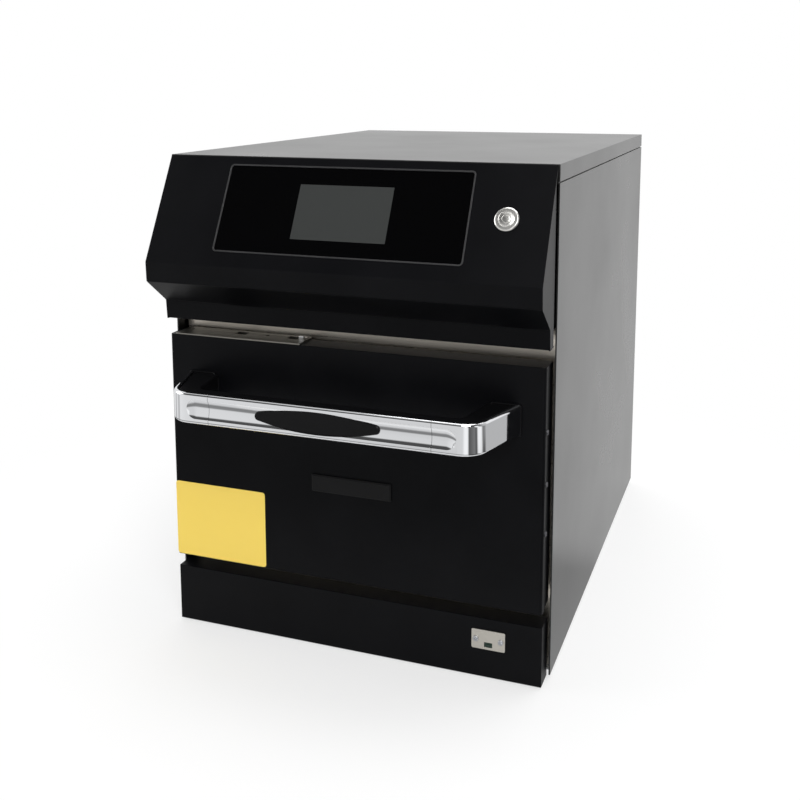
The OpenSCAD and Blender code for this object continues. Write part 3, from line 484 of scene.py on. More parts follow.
@dataclass(frozen=True)
class Plating(Finish):
    """Bright or dull plated metal with a little unevenness in its gloss.

    Attributes:
        spread: How much the roughness varies.
        metal: Metallic share.
    """

    spread: float = 0.05
    metal: float = 1.0

    def dress(self, tree: bpy.types.NodeTree, shader: bpy.types.Node) -> None:
        """Add a faint unevenness of gloss.

        Args:
            tree: The material's node tree.
            shader: Its Principled BSDF.
        """
        most = self.rough + self.spread
        gloss = self.use_group(tree, "cloudy_value", scale=30.0, low=self.rough, high=most)
        tree.links.new(gloss.outputs["Value"], shader.inputs["Roughness"])


@dataclass(frozen=True)
class Moulding(Finish):
    """Moulded plastic or rubber with a fine spark-eroded grain.

    Attributes:
        grain: Strength of the grain.
        scale: Scale of the grain.
        tone: Tone of the clouds against the colour.
    """

    grain: float = 0.2
    scale: float = 1600.0
    tone: float = 1.3

    def dress(self, tree: bpy.types.NodeTree, shader: bpy.types.Node) -> None:
        """Add the grain and a slight change of tone.

        Args:
            tree: The material's node tree.
            shader: Its Principled BSDF.
        """
        skin = self.use_group(tree, "coat_grain", scale=self.scale, strength=self.grain, depth=0.00006)
        tree.links.new(skin.outputs["Normal"], shader.inputs["Normal"])
        self.tint(tree, shader, tuple(c * self.tone for c in self.colour), scale=20.0)


@dataclass(frozen=True)
class Polished(Finish):
    """Polished glass or gloss plastic."""

    def dress(self, tree: bpy.types.NodeTree, shader: bpy.types.Node) -> None:
        """Add faint wipe marks in its gloss.

        Args:
            tree: The material's node tree.
            shader: Its Principled BSDF.
        """
        gloss = self.use_group(tree, "cloudy_value", scale=14.0, low=self.rough, high=self.rough + 0.04)
        tree.links.new(gloss.outputs["Value"], shader.inputs["Roughness"])


@dataclass(frozen=True)
class FibreMat(Finish):
    """Loose mineral fibre pressed into a mat.

    Attributes:
        tone: Tone of the darker tufts against the colour.
    """

    tone: float = 0.7

    def dress(self, tree: bpy.types.NodeTree, shader: bpy.types.Node) -> None:
        """Add coarse fibres to surface and colour.

        Args:
            tree: The material's node tree.
            shader: Its Principled BSDF.
        """
        tuft = self.use_group(tree, "coat_grain", scale=260.0, strength=0.9, depth=0.0012)
        tree.links.new(tuft.outputs["Normal"], shader.inputs["Normal"])
        self.tint(tree, shader, tuple(c * self.tone for c in self.colour), scale=120.0)


@dataclass(frozen=True)
class SolderMask(Finish):
    """Circuit board lacquer with copper tracks showing through.

    Attributes:
        pitch: Scale of the tracks.
        gap: Distance from a cell's middle past which it is track.
        tone: Tone of the tracks against the lacquer.
    """

    pitch: float = 220.0
    gap: float = 0.42
    tone: float = 1.9

    def dress(self, tree: bpy.types.NodeTree, shader: bpy.types.Node) -> None:
        """Add squared-off tracks a little lighter than the lacquer.

        Args:
            tree: The material's node tree.
            shader: Its Principled BSDF.
        """
        where = tree.nodes.new("ShaderNodeTexCoord")
        cells = tree.nodes.new("ShaderNodeTexVoronoi")
        cells.distance = "CHEBYCHEV"
        cells.feature = "F1"
        cells.inputs["Scale"].default_value = self.pitch
        edge = tree.nodes.new("ShaderNodeMath")
        edge.operation = "GREATER_THAN"
        edge.inputs[1].default_value = self.gap
        mix = tree.nodes.new("ShaderNodeMix")
        mix.data_type = "RGBA"
        mix.inputs["A"].default_value = (*self.colour, 1.0)
        mix.inputs["B"].default_value = (*(c * self.tone for c in self.colour), 1.0)
        tree.links.new(where.outputs["Object"], cells.inputs["Vector"])
        tree.links.new(cells.outputs["Distance"], edge.inputs[0])
        tree.links.new(edge.outputs["Value"], mix.inputs["Factor"])
        tree.links.new(mix.outputs["Result"], shader.inputs["Base Color"])


CABINET_BLACK = PowderCoat("cabinet_black", (0.009, 0.009, 0.009), rough=0.27, spread=0.04, grain=0.04)
FRONT_BLACK = PowderCoat(
    "front_black", (0.0018, 0.0019, 0.0026), rough=0.36, specular=0.095, spread=0.05, grain=0.08
)
BADGE_BLACK = PowderCoat("badge_black", (0.0035, 0.0035, 0.004), rough=0.42, specular=0.2, grain=0.2)
TOUCH_GLASS = Polished("touch_glass_black", (0.001, 0.001, 0.0012), rough=0.05, specular=0.14)
DISPLAY_GREY = Polished("display_grey", (0.042, 0.0445, 0.0435), rough=0.2, specular=0.2)
STAINLESS = BrushedSteel("stainless_brushed", (0.74, 0.7, 0.64), rough=0.22)
# Stainless of the front frame, brighter and warmer than the other stainless: painted light that stands in for
# the bright reflection along the strip under the head.
FRAME_STEEL_PAINTED_LIGHT = BrushedSteel("stainless_frame_painted_light", (0.88, 0.82, 0.73), rough=0.26)
# Stainless of the latch plate, far darker than the other stainless: painted shade from the head's undercut
# above it.
STRIKER_STEEL_PAINTED_SHADE = BrushedSteel("stainless_striker_painted_shade", (0.27, 0.26, 0.235), rough=0.3, spread=0.16)
STAINLESS_TALL = BrushedSteel("stainless_liner", (0.6, 0.59, 0.57), rough=0.26, axis=Axis.Y)
PLATE_STEEL = BrushedSteel("plate_steel", (0.66, 0.63, 0.57), rough=0.34, spread=0.1)
SWITCH_METAL = Plating("switch_metal", (0.78, 0.77, 0.74), rough=0.27, spread=0.06)
BRIGHT_METAL = Plating("bright_plate", (0.74, 0.74, 0.75), rough=0.18)
ZINC = Plating("zinc_plate", (0.5, 0.51, 0.53), rough=0.38, spread=0.12)
DARK_SCREW = Plating("blackened_screw", (0.14, 0.14, 0.15), rough=0.42, spread=0.12)
CHROME = Plating("chrome_plate", (0.86, 0.87, 0.89), rough=0.035, spread=0.025)
HANDLE_BLACK = Moulding("handle_moulding", (0.0035, 0.0035, 0.004), rough=0.3, specular=0.14, grain=0.1)
BLACK_MOULDING = Moulding("black_moulding", (0.012, 0.012, 0.013), rough=0.42, specular=0.4)
BEZEL_BLACK = Moulding("bezel_black", (0.03, 0.03, 0.031), rough=0.3)
FOOT_RUBBER = Moulding("foot_rubber", (0.016, 0.016, 0.016), rough=0.75, grain=0.35)
CAP_GREEN = Moulding("cap_moulding", (0.01, 0.028, 0.019), rough=0.6)
CARD_YELLOW = Moulding("card_print", (0.98, 0.715, 0.12), rough=0.38, grain=0.05, scale=500.0, tone=1.0)
CHOKE_POLYMER = Moulding("choke_moulding", (0.03, 0.028, 0.025), rough=0.5)
CORDIERITE = Moulding("cordierite", (0.74, 0.71, 0.64), rough=0.62, grain=0.3, scale=700.0)
MINERAL_FIBRE = FibreMat("mineral_fibre", (0.6, 0.52, 0.34), rough=0.95, specular=0.1)
BOARD_GREEN = SolderMask("board_green", (0.02, 0.12, 0.045), rough=0.35)
COIL_BROWN = Moulding("coil_brown", (0.12, 0.07, 0.04), rough=0.5, grain=0.5, scale=500.0)
HEATER_SHEATH = Plating("heater_sheath", (0.24, 0.19, 0.16), rough=0.45, spread=0.15)
MOTOR_GREY = PowderCoat("motor_coat", (0.12, 0.13, 0.14), rough=0.45)

DRESS: dict[str, tuple[Finish, str]] = {
    "feet": (FOOT_RUBBER, "rubber"),
    "base_pan": (ZINC, "zinc_steel"),
    "rear_panel": (CABINET_BLACK, "front_paint"),
    "front_posts": (FRONT_BLACK, "front_paint"),
    # The front frame's brighter stainless is painted light: the strip's bright reflection.
    "front_frame": (FRAME_STEEL_PAINTED_LIGHT, "stainless"),
    "usb_port_cap": (CAP_GREEN, "cap_green"),
    "cable_gland": (BLACK_MOULDING, "black_plastic"),
    # The brackets get the front's black in place of their zinc: black paint, and with it painted shade in the
    # gap between the head's cheeks and the side panels.
    "fascia_brackets": (FRONT_BLACK, "zinc_steel"),
    "control_board": (BOARD_GREEN, "circuit_green"),
    "door_inner_pan": (STAINLESS, "stainless"),
    "door_insulation": (MINERAL_FIBRE, "fibre"),
    "choke_frame": (CHOKE_POLYMER, "choke_polymer"),
    # The latch plate's dark stainless is painted shade from the head's undercut.
    "latch_plate": (STRIKER_STEEL_PAINTED_SHADE, "stainless"),
    "latch_hook": (BRIGHT_METAL, "bright_metal"),
    "door_hooks": (BRIGHT_METAL, "bright_metal"),
    "hinge_brackets": (ZINC, "zinc_steel"),
    "hinge_plates": (ZINC, "zinc_steel"),
    "hinge_pins": (BRIGHT_METAL, "bright_metal"),
    "cavity_liner": (STAINLESS_TALL, "stainless"),
    "ceramic_floor": (CORDIERITE, "ceramic"),
    "wire_rack": (BRIGHT_METAL, "bright_metal"),
    "jet_plate": (STAINLESS_TALL, "stainless"),
    "fan_baffle": (STAINLESS, "stainless"),
    "fan_plenum": (ZINC, "zinc_steel"),
    "heater_ring": (HEATER_SHEATH, "element"),
    "fan_wheel": (STAINLESS, "stainless"),
    "fan_motor": (MOTOR_GREY, "motor_grey"),
    "cavity_lagging": (MINERAL_FIBRE, "fibre"),
    "chassis_shelf": (ZINC, "zinc_steel"),
    "waveguide": (ZINC, "zinc_steel"),
    "magnetron": (BRIGHT_METAL, "bright_metal"),
    "hv_transformer": (COIL_BROWN, "coil_metal"),
    "hv_capacitor": (BRIGHT_METAL, "bright_metal"),
    "power_board": (BOARD_GREEN, "circuit_green"),
    "cooling_fan_frame": (BLACK_MOULDING, "black_plastic"),
    "cooling_fan_rotor": (BLACK_MOULDING, "black_plastic"),
    "interlock_switches": (BLACK_MOULDING, "black_plastic"),
}


# ---------------------------------------------------------------------- mesh tools


def body_of_node(node: str) -> str:
    """Return the name of the body a CAD node rides on."""
    return frame["nodes"][node]["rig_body"]


def shade(mesh: bpy.types.Mesh, degrees: float = 30.0) -> None:
    """Shade a mesh smooth, with sharp edges past an angle."""
    mesh.polygons.foreach_set("use_smooth", [True] * len(mesh.polygons))
    mesh.set_sharp_from_angle(angle=math.radians(degrees))


def object_from(name: str, bm: bmesh.types.BMesh) -> bpy.types.Object:
    """Turn a bmesh into an object at the origin and free the bmesh.

    Args:
        name: Name of the object and of its mesh.
        bm: The bmesh.

    Returns:
        The object, linked to the scene.
    """
    mesh = bpy.data.meshes.new(name)
    bm.to_mesh(mesh)
    bm.free()
    made = bpy.data.objects.new(name, mesh)
    bpy.context.scene.collection.objects.link(made)
    return made


def settle(obj: bpy.types.Object) -> None:
    """Apply every modifier of an object and leave a plain mesh.

    Args:
        obj: The object.
    """
    bpy.context.view_layer.update()
    graph = bpy.context.evaluated_depsgraph_get()
    mesh = bpy.data.meshes.new_from_object(obj.evaluated_get(graph))
    old = obj.data
    obj.modifiers.clear()
    obj.data = mesh
    if old.users == 0:
        bpy.data.meshes.remove(old)


def even_out(obj: bpy.types.Object, degrees: float = 40.0) -> None:
    """Shade an object smooth and let its large flat faces lead the normals.

    Args:
        obj: The object.
        degrees: Smallest angle of an edge that stays sharp.
    """
    shade(obj.data, degrees)
    weigh = obj.modifiers.new("lead_faces", "WEIGHTED_NORMAL")
    weigh.keep_sharp = True
    weigh.weight = LARGE_FACE_WEIGHT
    settle(obj)


def merged_copy(node: str, flat: float) -> bmesh.types.BMesh:
    """Copy a CAD node's mesh, join its triangles and clear its flat faces.

    Args:
        node: Name of the CAD node.
        flat: Angle below which two faces are one, in degrees.

    Returns:
        The copy as a bmesh.
    """
    bm = bmesh.new()
    bm.from_mesh(frame["nodes"][node].data)
    bmesh.ops.remove_doubles(bm, verts=bm.verts[:], dist=MERGE)
    bmesh.ops.dissolve_limit(bm, angle_limit=math.radians(flat), verts=bm.verts[:], edges=bm.edges[:])
    return bm


def softened(node: str, width: float, angle: float = 35.0, segments: int = 3) -> bpy.types.Object:
    """Copy a CAD node, merge it and round its sharp edges.

    Args:
        node: Name of the CAD node.
        width: Bevel width in metres.
        angle: Smallest edge angle that is rounded, in degrees.
        segments: Number of faces across the rounding.

    Returns:
        A plain mesh object at the origin, shaded smooth.
    """
    made = object_from(f"{node}_skin", merged_copy(node, 0.6))
    bevel = made.modifiers.new("soft_edges", "BEVEL")
    bevel.width = width
    bevel.segments = segments
    bevel.limit_method = "ANGLE"
    bevel.angle_limit = math.radians(angle)
    bevel.miter_outer = "MITER_ARC"
    bevel.use_clamp_overlap = True
    settle(made)
    even_out(made)
    return made


def stand_for(piece: bpy.types.Object, finish: Finish, slot: str, *nodes: str) -> None:
    """Dress a piece, hang it on its body and let it stand for CAD nodes.

    Args:
        piece: The finished mesh object.
        finish: Its finish.
        slot: Material slot of the record; not used.
        nodes: The CAD nodes it stands for, all on one body.
    """
    piece.data.materials.clear()
    piece.data.materials.append(finish.material())
    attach(piece, body_of_node(nodes[0]))
    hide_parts(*nodes)
    LOG.info("%s: %d faces, %s, for %s", piece.name, len(piece.data.polygons), finish.name, ", ".join(nodes))


def extruded(bm: bmesh.types.BMesh, outline: list[tuple[float, float]], x0: float, x1: float) -> None:
    """Add a closed solid: a (y, z) outline extruded from x0 to x1.

    Args:
        bm: The mesh to add to.
        outline: Points of the outline in order.
        x0: Low end in metres.
        x1: High end in metres.
    """
    near = [bm.verts.new((x0, y, z)) for y, z in outline]
    far = [bm.verts.new((x1, y, z)) for y, z in outline]
    count = len(outline)
    faces = [bm.faces.new(near), bm.faces.new(far)]
    for i in range(count):
        j = (i + 1) % count
        faces.append(bm.faces.new((near[i], near[j], far[j], far[i])))
    bmesh.ops.recalc_face_normals(bm, faces=faces)


def rounded_line(
    points: list[tuple[float, float]], radius: float, steps: int = 6
) -> list[tuple[float, float]]:
    """Round the inner corners of a polyline.

    Args:
        points: Corner points of the line.
        radius: Radius of the bends.
        steps: Number of segments in each bend.

    Returns:
        The line with an arc at each inner corner.
    """
    out = [points[0]]
    for before, here, after in zip(points, points[1:], points[2:]):
        b, h, a = Vector(before), Vector(here), Vector(after)
        u, v = (b - h).normalized(), (a - h).normalized()
        half = u.angle(v) / 2
        most = 0.45 * min((b - h).length, (a - h).length)
        reach = min(radius / math.tan(half), most)
        start, end = h + u * reach, h + v * reach
        centre = h + (u + v).normalized() * (reach / math.cos(half))
        first, last = start - centre, end - centre
        turn = first.angle_signed(last)
        for i in range(steps + 1):
            angle = -turn * i / steps
            spun = Matrix.Rotation(angle, 2) @ first
            out.append(tuple(centre + spun))
    out.append(points[-1])
    return out


def moved_line(points: list[tuple[float, float]], distance: float) -> list[tuple[float, float]]:
    """Move a polyline sideways with mitred corners.

    Args:
        points: Points of the line.
        distance: How far it moves to its left.

    Returns:
        The moved line.
    """
    out = []
    for i, here in enumerate(points):
        h = Vector(here)
        sides = []
        if i > 0:
            d = (h - Vector(points[i - 1])).normalized()
            sides.append(Vector((-d.y, d.x)))
        if i < len(points) - 1:
            d = (Vector(points[i + 1]) - h).normalized()
            sides.append(Vector((-d.y, d.x)))
        total = sum(sides, Vector((0.0, 0.0)))
        scale = 1.0 if len(sides) == 1 else 2.0 / (1.0 + sides[0].dot(sides[1]))
        total = total if len(sides) == 1 else total / 2.0
        out.append(tuple(h + total * scale * distance))
    return out


# -------------------------------------------------------------------- sub-assemblies


@dataclass
class Cabinet:
    """Side panels, cover and kick panel.

    Attributes:
        edge: Rounding of the side panels' edges in metres.
        fold: Rounding of the cover and the kick panel.
    """

    edge: float = 0.35 * MM
    fold: float = 0.7 * MM

    def build(self) -> None:
        """Soften the visible sheets and give them their coat."""
        for node in ("side_panel_left", "side_panel_right"):
            stand_for(softened(node, self.edge, segments=2), CABINET_BLACK, "cabinet_paint", node)
        stand_for(softened("top_cover", self.fold), CABINET_BLACK, "cabinet_paint", "top_cover")
        stand_for(softened("kick_panel", self.fold), FRONT_BLACK, "front_paint", "kick_panel")


@dataclass
class ControlHead:
    """Folded head with touch glass, display and power switch.

    Attributes:
        front: Depth of the side panels' front edges in millimetres.
        profile: Corners of the outer line from the top edge to the lower lip, in millimetres:
            the way from the front edges of the side panels, and the height.
        cheek_rim: Upper corner and the three lower and rear corners of the cheeks, likewise.
        half: Half width over the cheeks.
        sheet: Thickness of the folded sheet.
        bend: Outer radius of the folds.
        cheek_gap: How far the cheeks end short of the head's width.
        switch_x: Distance of the switch right of the centre.
        switch_hole: Radius of the hole for the switch.
        slant_mid: Distance of the switch and the glass centre below the top edge.
        glass: Width and height of the glass opening.
        glass_x: Centre of the glass opening.
        glass_corner: Radius of the opening's corners.
        mark_radii: Inner and outer radius of the ring of the power mark.
        mark_levels: Lower and upper face of the power mark above the slant.
        mark_bar: Width and length of the bar of the power mark.
        mark_rise: How far the middle of the bar stands above the ring's centre.
        bezel_edge: Rounding of the frame round the glass.
        glass_edge: Rounding of the glass.
        display_edge: Rounding of the display.
        switch_edge: Rounding of the switch and its button.
    """

    front: float = -230.5
    profile: tuple[tuple[float, float], ...] = (
        (-1.8, 495.0), (-56.0, 394.0), (-55.3, 374.5), (-22.0, 349.5), (-20.5, 330.0), (-6.0, 330.0),
    )
    cheek_rim: tuple[tuple[float, float], ...] = ((-6.2, 486.8), (-20.5, 330.0), (-8.0, 330.0), (-8.0, 481.0))
    half: float = 198.5 * MM
    sheet: float = 1.5 * MM
    bend: float = 2.6 * MM
    cheek_gap: float = 0.02 * MM
    switch_x: float = 158.6 * MM
    switch_hole: float = 9.6 * MM
    slant_mid: float = 53.5 * MM
    glass: tuple[float, float] = (252.5 * MM, 92.0 * MM)
    glass_x: float = -1.75 * MM
    glass_corner: float = 4.0 * MM
    mark_radii: tuple[float, float] = (2.0 * MM, 2.5 * MM)
    mark_levels: tuple[float, float] = (1.7 * MM, 2.12 * MM)
    mark_bar: tuple[float, float] = (0.5 * MM, 2.6 * MM)
    mark_rise: float = 1.9 * MM
    bezel_edge: float = 0.2 * MM
    glass_edge: float = 0.35 * MM
    display_edge: float = 0.1 * MM
    switch_edge: float = 0.25 * MM

    def placed(self, corners: tuple[tuple[float, float], ...]) -> list[tuple[float, float]]:
        """Return corners given from the side panels' front edges as (y, z) in metres."""
        return [((self.front + y) * MM, z * MM) for y, z in corners]

    def on_slant(self, x: float, down: float) -> Matrix:
        """Place a frame on the slanted face: x right, y up the slant, z outward.

        Args:
            x: Place along the width.
            down: Distance below the top edge along the slant.

        Returns:
            The frame as a matrix.
        """
        (y0, z0), (y1, z1) = self.placed(self.profile[:2])
        slant = math.atan2(y0 - y1, z0 - z1)
        return (
            Matrix.Translation((0.0, y0, z0))
            @ Matrix.Rotation(math.pi / 2 - slant, 4, "X")
            @ Matrix.Translation((x, -down, 0.0))
        )

    @staticmethod
    def cutter(outline: list[tuple[float, float]], place: Matrix) -> bpy.types.Object:
        """Make a prism through the sheet for a boolean cut.

        Args:
            outline: Points in the plane of the slanted face.
            place: Where the prism stands.

        Returns:
            The prism, 20 mm to either side of the face.
        """
        reach = 0.02
        bm = bmesh.new()
        low = [bm.verts.new(place @ Vector((x, y, -reach))) for x, y in outline]
        high = [bm.verts.new(place @ Vector((x, y, reach))) for x, y in outline]
        bm.faces.new(low)
        bm.faces.new(high)
        for i in range(len(outline)):
            j = (i + 1) % len(outline)
            bm.faces.new((low[i], low[j], high[j], high[i]))
        bmesh.ops.recalc_face_normals(bm, faces=bm.faces[:])
        return object_from("cutter", bm)

    @staticmethod
    def rounded_box(w: float, h: float, r: float, steps: int = 8) -> list[tuple[float, float]]:
        """Outline a rectangle with rounded corners, centred.

        Args:
            w: Width.
            h: Height.
            r: Radius of the corners.
            steps: Number of segments in each corner.

        Returns:
            The points of the outline in order.
        """
        right, top = w / 2 - r, h / 2 - r
        out = []
        for quarter, (cx, cy) in enumerate(((right, top), (-right, top), (-right, -top), (right, -top))):
            for i in range(steps + 1):
                a = math.radians(90 * quarter + 90 * i / steps)
                out.append((cx + r * math.cos(a), cy + r * math.sin(a)))
        return out

    def shell(self) -> bpy.types.Object:
        """Build the folded head: rounded folds, cheeks, glass and switch openings.

        Returns:
            The head as a plain mesh object.
        """
        bm = bmesh.new()
        line = self.placed(self.profile)
        outer = rounded_line(line, self.bend)
        inner = moved_line(outer, self.sheet)
        extruded(bm, outer + inner[::-1], -self.half, self.half)
        first, *rest = self.placed(self.cheek_rim)
        cheek = [first] + rounded_line(line[:5], self.bend)[1:-1] + rest
        for side in (-1, 1):
            ends = sorted((side * (self.half - self.sheet), side * (self.half - self.cheek_gap)))
            extruded(bm, cheek, *ends)
        made = object_from("control_fascia_skin", bm)
        turns = [math.tau * i / 48 for i in range(48)]
        circle = [(self.switch_hole * math.cos(a), self.switch_hole * math.sin(a)) for a in turns]
        opening = self.rounded_box(*self.glass, self.glass_corner)
        cutters = [
            self.cutter(opening, self.on_slant(self.glass_x, self.slant_mid)),
            self.cutter(circle, self.on_slant(self.switch_x, self.slant_mid)),
        ]
        for cutter in cutters:
            cut = made.modifiers.new("opening", "BOOLEAN")
            cut.operation = "DIFFERENCE"
            cut.solver = "EXACT"
            cut.use_self = True
            cut.object = cutter
        settle(made)
        for cutter in cutters:
            bpy.data.objects.remove(cutter)
        even_out(made, 30.0)
        return made

    def power_mark(self) -> bpy.types.Object:
        """Build the engraved ring-and-bar mark in the button face as a dark inlay.

        Returns:
            The mark as a plain mesh object.
        """
        place = self.on_slant(self.switch_x, self.slant_mid)
        bm = bmesh.new()
        deep, height = self.mark_levels
        start, sweep, steps = 125, 290, 40
        rings = []
        for i in range(steps + 1):
            a = math.radians(start + sweep * i / steps)
            for r in self.mark_radii:
                for z in self.mark_levels:
                    rings.append(bm.verts.new(place @ Vector((r * math.cos(a), r * math.sin(a), z))))
        for i in range(steps):
            a, b = rings[4 * i : 4 * i + 4], rings[4 * i + 4 : 4 * i + 8]
            for p, q in ((0, 1), (1, 3), (3, 2), (2, 0)):
                bm.faces.new((a[p], a[q], b[q], b[p]))
        for end in (rings[:4], rings[-4:]):
            bm.faces.new((end[0], end[1], end[3], end[2]))
        wide, long = self.mark_bar
        middle = Vector((0.0, self.mark_rise, (deep + height) / 2))
        for v in bmesh.ops.create_cube(bm, size=1.0)["verts"]:
            v.co = place @ (middle + v.co * Vector((wide, long, height - deep)))
        bmesh.ops.recalc_face_normals(bm, faces=bm.faces[:])
        return object_from("power_mark", bm)

    def build(self) -> None:
        """Build the head, dress the glass and the display, finish the switch."""
        stand_for(self.shell(), FRONT_BLACK, "front_paint", "control_fascia")
        for node, width, finish, slot in (
            ("glass_bezel", self.bezel_edge, BEZEL_BLACK, "black_plastic"),
            ("touch_glass", self.glass_edge, TOUCH_GLASS, "touch_glass"),
            ("display_screen", self.display_edge, DISPLAY_GREY, "display"),
        ):
            stand_for(softened(node, width, segments=2), finish, slot, node)
        for node in ("switch_body", "power_button"):
            stand_for(softened(node, self.switch_edge, 30.0), SWITCH_METAL, "bright_metal", node)
        mark = self.power_mark()
        mark.data.materials.append(BLACK_MOULDING.material())
        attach(mark, "button")
        LOG.info("%s: %d faces", mark.name, len(mark.data.polygons))


@dataclass
class Door:
    """Outer skin, badge, card and the wrap-round handle.

    Attributes:
        skin_edge: Rounding of the skin's edges.
        rim: Rounding of the upper and lower rims of the chrome shell.
        lip: Rounding of the groove, the seams and the grip opening.
        groove_r: Radius of the groove.
        groove_x: Half length of the groove's axis.
        groove_y: Depth of the groove's axis.
        groove_z: Height of the groove's axis.
        badge_edge: Rounding of the badge plate.
        card_edge: Rounding of the card.
        core_edge: Rounding of the handle's core.
        grip_edge: Rounding of the grip.
        seat_edge: Rounding of the handle's seats.
    """

    skin_edge: float = 0.9 * MM
    rim: float = 3.2 * MM
    lip: float = 0.45 * MM
    groove_r: float = 17.5 * MM
    groove_x: float = 124.004 * MM
    groove_y: float = -339.2 * MM
    groove_z: float = 263.0 * MM
    badge_edge: float = 0.3 * MM
    card_edge: float = 0.08 * MM
    core_edge: float = 1.6 * MM
    grip_edge: float = 1.2 * MM
    seat_edge: float = 0.7 * MM

    def chrome_shell(self, node: str) -> bpy.types.Object:
        """Round the outer rims of one chrome shell broadly and its other edges finely.

        Args:
            node: The shell's CAD node.

        Returns:
            The shell as a plain mesh object.
        """
        # An edge is part of a rim where it lies at the shell's top or bottom and its wall faces forward.
        close, forward = 0.01 * MM, -0.2
        bm = merged_copy(node, 0.4)
        bm.normal_update()
        heights = [vert.co.z for vert in bm.verts]
        ends = (min(heights), max(heights))
        rims = []
        for edge in bm.edges:
            level = any(all(abs(vert.co.z - end) < close for vert in edge.verts) for end in ends)
            wall = min((face.normal for face in edge.link_faces), key=lambda n: abs(n.z))
            if level and wall.y < forward:
                rims.append(edge)
        bmesh.ops.bevel(
            bm, geom=rims, offset=self.rim, segments=6, profile=0.5, affect="EDGES", clamp_overlap=True
        )
        made = object_from(f"{node}_skin", bm)
        bevel = made.modifiers.new("lips", "BEVEL")
        bevel.width = self.lip
        bevel.segments = 3
        bevel.limit_method = "ANGLE"
        bevel.angle_limit = math.radians(24.0)
        settle(made)
        even_out(made, 50.0)
        self.true_groove(made.data)
        return made

    def true_groove(self, mesh: bpy.types.Mesh) -> None:
        """Give the faces of the groove the normals of its exact cylinder and balls.

        Args:
            mesh: A chrome shell with its rounded edges.
        """
        normals = [corner.vector.copy() for corner in mesh.corner_normals]
        near = 0.2 * MM

        def towards_axis(place: Vector) -> Vector:
            """Return the way from a place to the nearest point of the groove's axis."""
            x = min(max(place.x, -self.groove_x), self.groove_x)
            return Vector((x, self.groove_y, self.groove_z)) - place

        for face in mesh.polygons:
            away = towards_axis(face.center)
            on_wall = abs(away.length - self.groove_r) < near and away.angle(face.normal) < math.radians(5.0)
            if on_wall:
                for loop in face.loop_indices:
                    normals[loop] = towards_axis(mesh.vertices[mesh.loops[loop].vertex_index].co).normalized()
        mesh.normals_split_custom_set(normals)

    def build(self) -> None:
        """Build and dress every visible piece of the door's outside."""
        stand_for(softened("door_skin", self.skin_edge), FRONT_BLACK, "front_paint", "door_skin")
        badge = softened("badge_plate", self.badge_edge, segments=2)
        stand_for(badge, BADGE_BLACK, "black_plastic", "badge_plate")
        card = softened("care_card", self.card_edge, segments=2)
        stand_for(card, CARD_YELLOW, "card_yellow", "care_card")
        for node in ("handle_bar", "handle_end_left", "handle_end_right"):
            stand_for(self.chrome_shell(node), CHROME, "chrome", node)
        for node, width, angle, segments in (
            ("handle_core", self.core_edge, 30.0, 4),
            ("handle_grip", self.grip_edge, 40.0, 4),
            ("handle_bases", self.seat_edge, 35.0, 3),
        ):
            stand_for(softened(node, width, angle, segments), HANDLE_BLACK, "handle_black", node)


